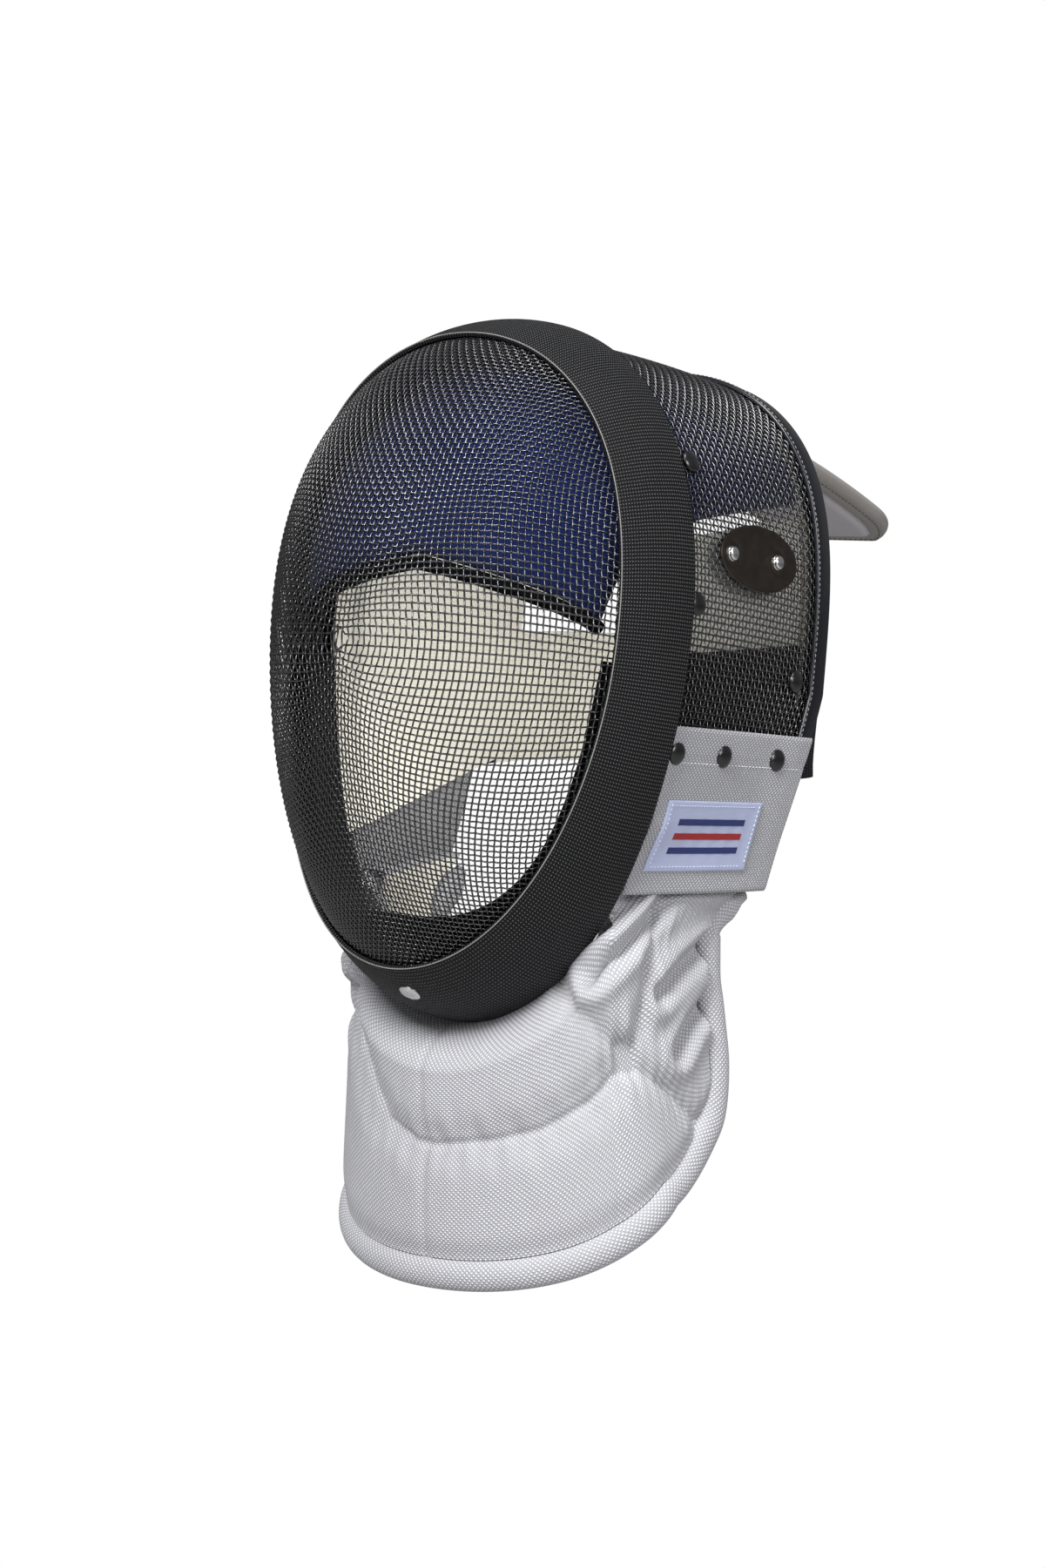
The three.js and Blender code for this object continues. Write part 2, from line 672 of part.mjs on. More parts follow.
function makeChinRivet() {
  const frame = seatOn(faceRow(BAND_WALL / 2), CHIN_RIVET_ROW, Math.PI, awayFromHead);
  rivet('chin_rivet', frame, RIVET_DIAMETER, colour.silver, 0.9);
}

// A thin flat plate of a shape drawn in millimetres, lying on a seat.
function flatPlate(shape, thickness, frame, segments) {
  const options = { depth: thickness, bevelEnabled: false, curveSegments: segments };
  const geometry = new THREE.ExtrudeGeometry(shape, options);
  const along = frame.along.clone();
  const over = frame.out.clone().cross(along);
  geometry.applyMatrix4(new THREE.Matrix4().makeBasis(along, over, frame.out));
  geometry.translate(frame.centre.x, frame.centre.y, frame.centre.z);
  return geometry;
}

function makeSidePlate() {
  const seat = sideFrame(PLATE_BACK, PLATE_UP, 1, PLATE_LIFT);
  const shape = new THREE.Shape();
  shape.absellipse(0, 0, PLATE_LENGTH / 2, PLATE_HEIGHT / 2, 0, 2 * Math.PI, false, 0);
  add('side_plate', flatPlate(shape, PLATE_WALL, seat, 14), colour.plate, 0.45, 0.8);
  for (const [name, hand] of [['front', -1], ['rear', 1]]) {
    const centre = seat.centre.clone()
      .addScaledVector(seat.along, PLATE_RIVET_SHIFT + hand * PLATE_RIVET_SPACING / 2)
      .addScaledVector(seat.out, PLATE_WALL + CLEARANCE);
    rivet(`plate_rivet_${name}`, { ...seat, centre }, PLATE_RIVET_DIAMETER, colour.silver, 0.9);
  }
}

function makeLabel() {
  const reach = (LABEL_BACK - TAB_START) / (TAB_LENGTH - TAB_START);
  const level = LABEL_DROP / (TAB_TOP - TAB_BOTTOM);
  const middleWidth = (TAB_LENGTH - TAB_START + TAB_FOOT_REAR - side(0, BIB_RIM_ANGLE).y) / 2;
  const spanReach = LABEL_LENGTH / middleWidth / 2;
  const spanLevel = LABEL_HEIGHT / (TAB_TOP - TAB_BOTTOM) / 2;
  const seat = TAB_SEAT + TAB_WALL + 3 * CLEARANCE;
  const surface = (distance) => (u, v) => tabBody(distance)(
    level + (u - 0.5) * 2 * spanLevel, reach + (v - 0.5) * 2 * spanReach);
  add('label', wall(surface(seat + LABEL_WALL), surface(seat), shares(4), shares(6)), colour.label, 0.4);
}

// Crown pad under the top of the side mesh
const padAngles = shares(Math.round(2 * CROWN_PAD_ANGLE / (15 * deg)) * 2, -CROWN_PAD_ANGLE, CROWN_PAD_ANGLE);

function makeCrownPad() {
  const outer = offset(side, -MESH_WALL - 2 * CLEARANCE, awayFromHead);
  const inner = offset(side, -MESH_WALL - 2 * CLEARANCE - PAD_WALL, awayFromHead);
  const rows = shares(4, CROWN_PAD_START / CROWN_LENGTH, CROWN_PAD_END);
  add('crown_pad', wall(outer, inner, rows, padAngles), colour.navy, 0.9);
  return inner;
}

// Forehead pad: level 0 is its lower edge and level 1 its top edge under the crown pad's front.
function foreheadBody(distance) {
  const crown = offset(side, -MESH_WALL - 2 * CLEARANCE - PAD_WALL / 2, awayFromHead);
  return (level, across) => {
    const turn = across * Math.PI / 2;
    const bow = 1 - Math.cos(turn);
    const lower = new THREE.Vector3(
      FOREHEAD_HALF_WIDTH * Math.sin(turn),
      THREE.MathUtils.lerp(FOREHEAD_FRONT, FOREHEAD_SIDE_BACK, bow),
      THREE.MathUtils.lerp(FOREHEAD_EDGE, FOREHEAD_SIDE_EDGE, bow ** FOREHEAD_DROOP),
    );
    const upper = crown(CROWN_PAD_START / CROWN_LENGTH, across * CROWN_PAD_ANGLE);
    upper.y -= FOREHEAD_WALL / 2;
    const point = lower.lerp(upper, level);
    const swell = FOREHEAD_BULGE * Math.sin(level * Math.PI) ** 0.8;
    const out = new THREE.Vector3(point.x * 0.15, -60 * Math.cos(turn) - 12, 42).normalize();
    return point.addScaledVector(out, swell + distance);
  };
}

function makeForeheadPad() {
  const rows = shares(6);
  const columns = shares(18, -1, 1);
  const outer = foreheadBody(FOREHEAD_WALL / 2);
  const inner = foreheadBody(-FOREHEAD_WALL / 2);
  add('forehead_pad', wall(outer, inner, rows, columns), colour.navy, 0.9);
  const radius = PAD_BINDING_DIAMETER / 2;
  const body = foreheadBody(0);
  const sections = columns.map((across) => {
    const edge = body(0, across);
    const up = body(0.03, across).sub(edge).normalize();
    const out = foreheadBody(1)(0, across).sub(edge).normalize();
    const centre = edge.addScaledVector(up, -(radius + 3 * CLEARANCE));
    return ringAngles(6).map((turn) => centre.clone()
      .addScaledVector(up, radius * Math.cos(turn))
      .addScaledVector(out, radius * Math.sin(turn)));
  });
  add('pad_binding', bar(sections), colour.black, 0.7);
}

// Chin pad inside the lower face
function makeChinPad() {
  const angles = ringAngles(RING_COUNT).filter((angle) => Math.abs(angle - Math.PI) <= CHIN_PAD_ANGLE);
  const body = (distance) => {
    const surface = offset(face, distance, awayFromHead);
    return (row, angle) => {
      const low = Math.abs(Math.cos(angle)) ** CHIN_START_POWER;
      const start = THREE.MathUtils.lerp(CHIN_START_SIDE, CHIN_START_CENTRE, low);
      return surface(THREE.MathUtils.lerp(start, CHIN_END, row), angle);
    };
  };
  const seat = -meshDepth - MESH_WALL - 3 * CLEARANCE;
  add('chin_pad', wall(body(seat), body(seat - CHIN_WALL), shares(4), angles), colour.black, 0.95);
}

// Back strap: along the inside of both side meshes and round behind the head
const strapSeat = -MESH_WALL - 4 * CLEARANCE - BINDING_WALL;

// A strap section through three points of its outer face, from its top edge to its bottom edge.
function strapSection(outer, out) {
  const inner = outer.map((p) => p.clone().addScaledVector(out, -STRAP_WALL));
  return [...outer, ...inner.reverse()];
}

function makeStrap() {
  const centreHeight = STRAP_TOP - STRAP_WIDTH / 2;
  const heights = STRAP_RISES.map((rise) => centreHeight + rise * STRAP_WIDTH);
  const sections = shares(6, STRAP_BACK, STRAP_END).map((back) => {
    const outer = heights.map((z) => {
      const up = (z + back * Math.sin(RIM_TILT)) / Math.cos(RIM_TILT);
      return onSide(back, up, 1, strapSeat).setZ(z);
    });
    return { outer, out: new THREE.Vector3(1, 0, 0) };
  });
  const last = sections[sections.length - 1].outer;
  for (const turn of shares(5, 18 * deg, 90 * deg)) {
    const outer = last.map((p, i) => new THREE.Vector3(
      p.x - STRAP_CORNER * (1 - Math.cos(turn)), p.y + STRAP_CORNER * Math.sin(turn), heights[i]));
    sections.push({ outer, out: new THREE.Vector3(Math.cos(turn), Math.sin(turn), 0) });
  }
  const corner = sections[sections.length - 1].outer;
  const backwards = new THREE.Vector3(0, 1, 0);
  for (const share of [0.5, 0]) {
    const rear = corner[1].y + STRAP_BOW * (1 - share);
    const outer = corner.map((p) => new THREE.Vector3(p.x * share, rear, p.z));
    sections.push({ outer, out: backwards });
  }
  const flip = (p) => new THREE.Vector3(-p.x, p.y, p.z);
  const mirror = sections.slice(0, -1).reverse()
    .map(({ outer, out }) => ({ outer: outer.map(flip), out: flip(out) }));
  const strap = [...sections, ...mirror].map(({ outer, out }) => strapSection(outer, out));
  add('back_strap', bar(strap), colour.strap, 0.8);
}

// Thin linings from the rim back inside the side mesh, drawn in over the strap
function liningBody(distance) {
  const near = offset(side, -MESH_WALL - LINING_SEAT + distance, awayFromHead);
  const far = offset(side, strapSeat - STRAP_WALL - 3 * CLEARANCE + distance, awayFromHead);
  return (share, angle) => {
    const drawn = THREE.MathUtils.smoothstep(share, 0, LINING_FULL_SHARE);
    return near(share, angle).lerp(far(share, angle), drawn);
  };
}

function makeLinings() {
  const rows = [LINING_FRONT, 0, LINING_FULL_SHARE / 2, ...shares(5, LINING_FULL_SHARE, 0.98)];
  const angles = shares(8, LINING_TOP_ANGLE, SIDE_END_ANGLE - 4 * deg);
  for (const [name, hand] of [['left', 1], ['right', -1]]) {
    const outer = mirrored(liningBody(0), hand);
    const inner = mirrored(liningBody(-LINING_WALL), hand);
    add(`lining_${name}`, wall(outer, inner, rows, angles), colour.cream, 0.9);
  }
}

// Tongue: a padded flap from under the crown, sloping down behind the head
function tonguePoint(share, across, distance) {
  const run = share * TONGUE_LENGTH;
  const slope = TONGUE_SLOPE + TONGUE_DROOP * share / 2;
  const y = tongueRoot.y + run * Math.cos(slope);
  const z = tongueRoot.z - run * Math.sin(slope);
  const corner = TONGUE_WIDTH / 2;
  const rounding = Math.max(0, run - (TONGUE_LENGTH - TONGUE_ROUNDING)) / TONGUE_ROUNDING;
  const half = corner - TONGUE_ROUNDING * (1 - Math.sqrt(Math.max(0, 1 - rounding * rounding)));
  const sideways = across * half;
  const normal = new THREE.Vector3(0, Math.sin(slope), Math.cos(slope));
  return new THREE.Vector3(sideways, y, z).addScaledVector(normal, distance);
}

const tongueRoot = new THREE.Vector3();

function makeTongue() {
  const ceiling = shares(12, 0, CROWN_PAD_ANGLE)
    .map((angle) => crownInner(TONGUE_START / CROWN_LENGTH, angle))
    .filter((p) => p.x < TONGUE_WIDTH / 2 + PAD_WALL);
  const lowest = Math.min(...ceiling.map((p) => p.z));
  tongueRoot.set(0, ceiling[0].y, lowest - TONGUE_WALL - TONGUE_SEAT);
  const rows = [...shares(6, 0, 0.8), 0.86, 0.91, 0.95, 0.98, 0.998];
  const cross = shares(4, -1, 1);
  const top = (u, v) => tonguePoint(u, v, TONGUE_WALL);
  const bottom = (u, v) => tonguePoint(u, v, 0);
  add('tongue', wall(top, bottom, rows, cross), colour.tongue, 0.8);
  const inset = 1 - TONGUE_BORDER / (TONGUE_WIDTH / 2);
  const stretch = 1 - TONGUE_BORDER / TONGUE_LENGTH;
  const panel = (distance) => (u, v) => tonguePoint(
    THREE.MathUtils.lerp(TONGUE_PANEL_START, stretch, u), v * inset, distance);
  const panelTop = panel(-CLEARANCE);
  const panelBottom = panel(-CLEARANCE - TONGUE_PANEL_WALL);
  add('tongue_panel', wall(panelTop, panelBottom, rows, cross), colour.panel, 0.6);
}

makeFaceMesh();
makeBand();
makeSideMesh();
makeRearBinding();
makeBib();
makeHem();
makeTabs();
makeRivets();
makeChinRivet();
makeSidePlate();
makeLabel();
const crownInner = makeCrownPad();
makeForeheadPad();
makeChinPad();
makeStrap();
makeLinings();
makeTongue();

const origin = crownInner(0.35, 0);
mask.position.copy(origin).negate();

const assembly = new THREE.Group();
assembly.add(mask);
export default assembly;
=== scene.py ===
"""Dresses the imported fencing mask: woven wire, cloth, padding, rivets, light and camera."""
import math

import bpy
import numpy as np
from mathutils import Matrix, Vector


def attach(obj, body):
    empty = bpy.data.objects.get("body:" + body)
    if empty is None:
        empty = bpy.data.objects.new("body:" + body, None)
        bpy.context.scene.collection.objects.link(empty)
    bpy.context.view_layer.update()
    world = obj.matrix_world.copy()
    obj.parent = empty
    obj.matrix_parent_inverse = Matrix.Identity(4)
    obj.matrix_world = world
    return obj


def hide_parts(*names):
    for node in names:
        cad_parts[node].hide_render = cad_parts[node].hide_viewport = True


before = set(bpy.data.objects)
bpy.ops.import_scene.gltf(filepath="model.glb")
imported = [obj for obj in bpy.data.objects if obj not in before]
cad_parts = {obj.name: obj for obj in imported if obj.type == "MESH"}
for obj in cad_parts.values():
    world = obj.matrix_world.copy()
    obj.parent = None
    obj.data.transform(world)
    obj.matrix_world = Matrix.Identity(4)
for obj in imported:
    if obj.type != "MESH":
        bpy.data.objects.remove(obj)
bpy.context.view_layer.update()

MM = 0.001
DEG = math.pi / 180

# The same named sizes as in the CAD part, in millimetres
RIM_TILT = 8 * DEG
RIM_HALF_WIDTH = 106.5
RIM_TOP = 160.3
RIM_BOTTOM = 167.4
RIM_EGG = 0.1245
RIM_CROWN_EGG = 0.1115
RIM_SADDLE = 3.1
FACE_DEPTH = 116.6
FACE_FULLNESS = 1.09
MESH_WALL = 2.0
CLEARANCE = 0.3
BAND_WALL = 1.9
BAND_START_SIDE = 0.743
BAND_START_TOP = 0.754
BAND_START_CHIN = 0.667
BAND_RETURN = 1.6
BAND_ROW = 0.7
FACE_TIP = 0.004
FACE_END = 0.985
SIDE_INSET = 5.5
SIDE_END_ANGLE = 120 * DEG
SIDE_BULGE = 0.018
REAR_HALF_WIDTH = 96.0
REAR_TOP = 148.0
REAR_BOTTOM = 76.0
REAR_WIDTH_POWER = 0.68
REAR_HEIGHT_POWER = 0.575
SIDE_LENGTH = 124.0
CROWN_LENGTH = 108.0
EAR_LENGTH = 104.0
BINDING_WIDTH = 10.0
BINDING_WALL = 1.8
BIB_WALL = 9.0
BIB_HALF_WIDTH = 87.0
BIB_FRONT = -51.0
BIB_CURVE_DEPTH = 61.0
BIB_REAR = 46.0
BIB_FLARE = 6.0
BIB_SETBACK = 6.0
BIB_TOP_SIDE = -98.0
BIB_TOP_RAISE = 5.0
BIB_TOP_REAR = 76.0
BIB_TOP_REAR_HALF_WIDTH = 92.0
BIB_HEM_CENTRE = -280.0
BIB_HEM_SIDE = -244.0
BIB_HEM_REAR = -206.0
BIB_CURVE_SHARE = 0.62
BIB_RIM_SHARE = 0.45
BIB_RIM_ANGLE = 130 * DEG
HEM_WIDTH = 15.0
HEM_THICKNESS = 11.0
HEM_GAP = 1.08
TAB_WALL = 3.0
TAB_TOP = -24.0
TAB_TOP_RISE = 3.5
TAB_BOTTOM = -103.0
TAB_START = 6.0
TAB_LENGTH = 117.0
TAB_FOOT_REAR = 79.0
TAB_FOOT_FORWARD = 4.0
TAB_SOFTNESS = 3.0
TAB_OVERHANG = 2.5
TAB_TAPER = 14.0
TAB_SEAT = 2 * CLEARANCE
SIDE_FOOT = -80.0
RIVET_DIAMETER = 10.5
TAB_RIVETS = [12, 48.5, 92]
TAB_RIVET_DROP = 12.5
MESH_RIVETS = [(17, 98), (15, 32), (102, 4.6)]
PLATE_LENGTH = 64.0
PLATE_HEIGHT = 31.0
PLATE_WALL = 1.2
PLATE_BACK = 61.5
PLATE_UP = 58.0
PLATE_LIFT = 0.6
PLATE_RIVET_SPACING = 38.0
PLATE_RIVET_SHIFT = -4.0
PLATE_RIVET_DIAMETER = 6.5
LABEL_LENGTH = 70.0
LABEL_HEIGHT = 34.0
LABEL_BACK = 52.5
LABEL_DROP = 51.0
CHIN_RIVET_ROW = 0.785
PAD_WALL = 9.0
CROWN_PAD_ANGLE = 64 * DEG
CROWN_PAD_START = 8.0
CROWN_PAD_END = 0.9
FOREHEAD_WALL = 10.0
FOREHEAD_FRONT = -58.0
FOREHEAD_EDGE = 53.0
FOREHEAD_SIDE_BACK = -30.0
FOREHEAD_SIDE_EDGE = 24.0
FOREHEAD_DROOP = 0.6
FOREHEAD_HALF_WIDTH = 84.0
FOREHEAD_BULGE = 16.0
PAD_BINDING_DIAMETER = 7.0
CHIN_WALL = 8.0
CHIN_START_SIDE = 0.74
CHIN_START_CENTRE = 0.54
CHIN_START_POWER = 5
CHIN_END = 0.93
STRAP_WIDTH = 64.0
STRAP_WALL = 2.2
STRAP_TOP = 7.0
STRAP_BACK = 12.0
STRAP_END = 127.0
STRAP_CORNER = 22.0
STRAP_BOW = 4.0
LINING_WALL = 1.4
LINING_TOP_ANGLE = 67 * DEG
LINING_FRONT = -0.08
LINING_SEAT = 1.2
LINING_FULL_SHARE = 0.06
TONGUE_WIDTH = 80.0
TONGUE_WALL = 7.0
TONGUE_LENGTH = 196.0
TONGUE_START = 80.0
TONGUE_SLOPE = 11 * DEG
TONGUE_DROOP = 17 * DEG
TONGUE_PANEL_WALL = 3.0
TONGUE_PANEL_START = 0.12
TONGUE_BORDER = 12.0
TONGUE_ROUNDING = 30.0
TONGUE_SEAT = -0.75

COS_TILT = math.cos(RIM_TILT)
SIN_TILT = math.sin(RIM_TILT)


def vec(x, y, z):
    """Points from coordinates that broadcast together."""
    return np.stack(np.broadcast_arrays(x, y, z), -1).astype(float)


def lerp(a, b, t):
    return a + (b - a) * t


def smooth(x, low, high):
    t = np.clip((x - low) / (high - low), 0, 1)
    return t * t * (3 - 2 * t)


def unit(v):
    return v / np.maximum(np.linalg.norm(v, axis=-1, keepdims=True), 1e-12)


def place(x, back, up):
    """A point from distances across, behind and above along the tilted rim."""
    return vec(x, back * COS_TILT + up * SIN_TILT, -back * SIN_TILT + up * COS_TILT)


def rim(angle):
    s, c = np.sin(angle), np.cos(angle)
    egg = 1 + RIM_EGG * c + RIM_CROWN_EGG * c * c
    return RIM_HALF_WIDTH * s * egg, np.where(c > 0, RIM_TOP, RIM_BOTTOM) * c


def face(share, angle):
    x, up = rim(angle)
    s = np.sin(share * math.pi / 2)
    k = np.maximum(np.cos(share * math.pi / 2), 0) ** FACE_FULLNESS
    forward = FACE_DEPTH * k + RIM_SADDLE * np.cos(2 * angle) * s * s
    return place(x * s, -forward, up * s)


def side(share, angle):
    x, up = rim(angle)
    s, c = np.sin(angle), np.cos(angle)
    above = np.maximum(c, 0)
    below = np.maximum(-c, 0)
    front_x = x * (1 - SIDE_INSET / RIM_HALF_WIDTH)
    front_up = up * (1 - SIDE_INSET / RIM_TOP)
    front_back = 1.2 * CLEARANCE - RIM_SADDLE * np.cos(2 * angle) + BAND_RETURN * 0.2
    rear_x = np.where(
        c < 0,
        np.sign(angle) * REAR_HALF_WIDTH * (1 - 0.06 * below**2),
        REAR_HALF_WIDTH * np.sign(s) * np.abs(s) ** REAR_WIDTH_POWER,
    )
    rear_up = np.where(c < 0, REAR_BOTTOM * c, REAR_TOP * above**REAR_HEIGHT_POWER)
    rear_back = SIDE_LENGTH + (CROWN_LENGTH - SIDE_LENGTH) * above**2 - (SIDE_LENGTH - EAR_LENGTH) * below
    swell = 1 + 4 * SIDE_BULGE * share * (1 - share)
    return place(
        lerp(front_x, rear_x, share) * swell,
        lerp(front_back, rear_back, share),
        lerp(front_up, rear_up, share) * swell,
    )


def normal_of(surface, u, v, outward):
    step = 1e-3
    du = surface(u + step, v) - surface(u - step, v)
    dv = surface(u, v + step) - surface(u, v - step)
    normal = unit(np.cross(du, dv))
    facing = np.sum(normal * outward(surface(u, v)), -1, keepdims=True)
    return np.where(facing < 0, -normal, normal)


def offset(surface, outward):
    def moved(u, v, distance):
        u, v, distance = np.broadcast_arrays(u, v, distance)
        return surface(u, v) + normal_of(surface, u, v, outward) * distance[..., None]

    return moved


def from_head(p):
    return p - np.array([0, 20.0, 0])


def from_neck(p):
    return (p - np.array([0, 20.0, 0])) * np.array([1, 1, 0])


def band_start(angle):
    c = np.cos(angle)
    towards = np.where(c > 0, BAND_START_TOP, BAND_START_CHIN)
    return lerp(BAND_START_SIDE, towards, c * c)


face_off = offset(face, from_head)
side_off = offset(side, from_head)


def face_row(row, angle, distance):
    start = band_start(angle)
    share = np.where(
        row < BAND_ROW,
        lerp(FACE_TIP, start, row / BAND_ROW),
        lerp(start, FACE_END, (row - BAND_ROW) / (1 - BAND_ROW)),
    )
    return face_off(share, angle, distance)


def bib_top(station, rear=BIB_TOP_REAR):
    station = np.asarray(station, float)
    t = np.abs(station)
    hand = np.where(station < 0, -1.0, 1.0)
    angle = lerp(math.pi, BIB_RIM_ANGLE, np.minimum(t / BIB_RIM_SHARE, 1))
    edge = side(np.zeros_like(angle), angle)
    raised = 1 + BIB_TOP_RAISE * smooth(t / BIB_RIM_SHARE, 0.7, 1)
    near = vec(hand * np.abs(edge[..., 0]), edge[..., 1] + BIB_SETBACK, edge[..., 2] + raised)
    start = side(np.array(0.0), np.array(BIB_RIM_ANGLE))
    k = (t - BIB_RIM_SHARE) / (1 - BIB_RIM_SHARE)
    bow = np.sin(k * math.pi / 2)
    far = vec(
        hand * lerp(abs(start[0]), BIB_TOP_REAR_HALF_WIDTH, bow),
        lerp(start[1] + BIB_SETBACK, rear, k),
        lerp(start[2] + 1 + BIB_TOP_RAISE, BIB_TOP_SIDE, np.minimum(k * 3, 1)),
    )
    return np.where((t < BIB_RIM_SHARE)[..., None], near, far)


def bib_hem_height(station):
    t = np.abs(station)
    curved = np.minimum(t / BIB_CURVE_SHARE, 1)
    straight = np.maximum((t - BIB_CURVE_SHARE) / (1 - BIB_CURVE_SHARE), 0)
    front = BIB_HEM_CENTRE + (BIB_HEM_SIDE - BIB_HEM_CENTRE) * curved**2.2
    return front + (BIB_HEM_REAR - BIB_HEM_SIDE) * straight**1.5


def bib_plan(station):
    station = np.asarray(station, float)
    t = np.abs(station)
    hand = np.where(station < 0, -1.0, 1.0)
    centre = BIB_FRONT + BIB_CURVE_DEPTH
    turn = np.minimum(t / BIB_CURVE_SHARE, 1) * math.pi / 2
    k = np.maximum((t - BIB_CURVE_SHARE) / (1 - BIB_CURVE_SHARE), 0)
    x = hand * BIB_HALF_WIDTH * np.sin(turn)
    y = np.where(t < BIB_CURVE_SHARE, centre - BIB_CURVE_DEPTH * np.cos(turn), lerp(centre, BIB_REAR, k))
    return x, y


def bib_body(level, station):
    top = bib_top(station)
    x, y = bib_plan(station)
    mix = smooth(level, 0, 0.24)
    flare = 1 + BIB_FLARE / BIB_HALF_WIDTH * np.maximum(level - 0.5, 0) * 2
    return vec(
        lerp(top[..., 0], x * flare, mix),
        lerp(top[..., 1], y, mix),
        lerp(top[..., 2], bib_hem_height(station), level),
    )


def on_side(back, up, distance):
    """The point of the side surface that lies a given distance behind and above the rim's centre."""
    back, up = np.broadcast_arrays(np.asarray(back, float), np.asarray(up, float))
    share = back / SIDE_LENGTH
    for _ in range(6):
        low = np.zeros_like(share)
        high = np.full_like(share, SIDE_END_ANGLE + 25 * DEG)
        for _ in range(22):
            angle = (low + high) / 2
            p = side(share, angle)
            above = p[..., 1] * SIN_TILT + p[..., 2] * COS_TILT > up
            low = np.where(above, angle, low)
            high = np.where(above, high, angle)
        p = side(share, angle)
        share = share + (back - (p[..., 1] * COS_TILT - p[..., 2] * SIN_TILT)) / SIDE_LENGTH
    return side_off(share, angle, distance)


def soft_max(a, b, softness):
    return (a + b + np.hypot(a - b, softness) - softness) / 2


def tab_body(level, reach, distance):
    level, reach, distance = np.broadcast_arrays(
        np.asarray(level, float), np.asarray(reach, float), np.asarray(distance, float)
    )
    over = smooth(reach, 0.7, 0.93) * (BINDING_WALL + CLEARANCE)
    back = lerp(TAB_START, TAB_LENGTH, reach)
    top = TAB_TOP + TAB_TOP_RISE * reach
    upper = on_side(back, top, distance + over)
    station = lerp(BIB_RIM_SHARE, 1, 0.04 + 0.96 * reach)
    foot = bib_top(station, TAB_FOOT_REAR)
    normal = normal_of(bib_body, np.full_like(station, 0.03), station, from_neck)
    foot = foot + normal * (distance + TAB_OVERHANG)[..., None]
    foot[..., 1] -= TAB_FOOT_FORWARD * (1 - reach)
    foot[..., 2] = TAB_BOTTOM - 4 * reach
    point = lerp(upper, foot, level[..., None])
    drape = on_side(back - TAB_TAPER * level, lerp(top, SIDE_FOOT, level), distance + over)
    leave = smooth(level, 0.55, 1)
    point[..., 0] = soft_max(point[..., 0], lerp(drape[..., 0], foot[..., 0], leave), TAB_SOFTNESS)
    return point


# The mount head_seat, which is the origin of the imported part
ORIGIN = side_off(np.array(0.35), np.array(0.0), -MESH_WALL - 2 * CLEARANCE - PAD_WALL)

# The camera that a fit to the photograph's outlines gave, in the part's own axes
CAMERA_BACK = np.array([0.6240, -0.7772, 0.0808])
CAMERA_RIGHT = np.array([0.7797, 0.6262, 0.0])
CAMERA_UP = np.array([-0.0506, 0.0630, 0.9967])
CAMERA_DISTANCE = 2200.0
CAMERA_LENS = 107.96
CAMERA_SENSOR = 36.0
CAMERA_SHIFT_RIGHT = 11.65
CAMERA_SHIFT_UP = -56.5

# Mesh building


def build(name, points, quads, uv=None, flat_angle=50):
    """A mesh object from points in millimetres of the part's own axes, and four-cornered faces."""
    mesh = bpy.data.meshes.new(name)
    points = (np.asarray(points, float).reshape(-1, 3) - ORIGIN) * MM
    quads = np.asarray(quads, np.int32).reshape(-1, 4)
    mesh.vertices.add(len(points))
    mesh.vertices.foreach_set("co", points.astype(np.float32).ravel())
    mesh.loops.add(quads.size)
    mesh.loops.foreach_set("vertex_index", quads.ravel())
    mesh.polygons.add(len(quads))
    mesh.polygons.foreach_set("loop_start", np.arange(0, quads.size, 4, dtype=np.int32))
    if uv is not None:
        layer = mesh.uv_layers.new(name="UVMap")
        layer.data.foreach_set("uv", np.asarray(uv, np.float32).ravel())
    mesh.update(calc_edges=True)
    mesh.validate()
    mesh.shade_smooth()
    if flat_angle:
        mesh.set_sharp_from_angle(angle=flat_angle * DEG)
    item = bpy.data.objects.new(name, mesh)
    bpy.context.scene.collection.objects.link(item)
    return item


def finish_piece(item, material, slot, *nodes):
    """Gives a piece its material and body and hides the CAD nodes that it replaces; its slot is not used."""
    item.data.materials.append(material)
    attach(item, "root")
    if nodes:
        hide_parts(*nodes)
    return item


def grid_faces(rows, columns, ring):
    """The rows and columns of each face's four corners in a grid of points."""
    count = columns if ring else columns - 1
    i, j = [a.ravel() for a in np.meshgrid(np.arange(rows - 1), np.arange(count), indexing="ij")]
    return np.stack([i, i + 1, i + 1, i], -1), np.stack([j, j, j + 1, j + 1], -1)


def lengths(grid, axis, ring=False):
    """The mean distance along a grid's rows or columns, in centimetres, for its texture map."""
    if ring:
        grid = np.concatenate([grid, grid[:, :1]], 1)
    step = np.linalg.norm(np.diff(grid, axis=axis), axis=-1).mean(1 - axis)
    return np.concatenate([[0], np.cumsum(step)]) / 10


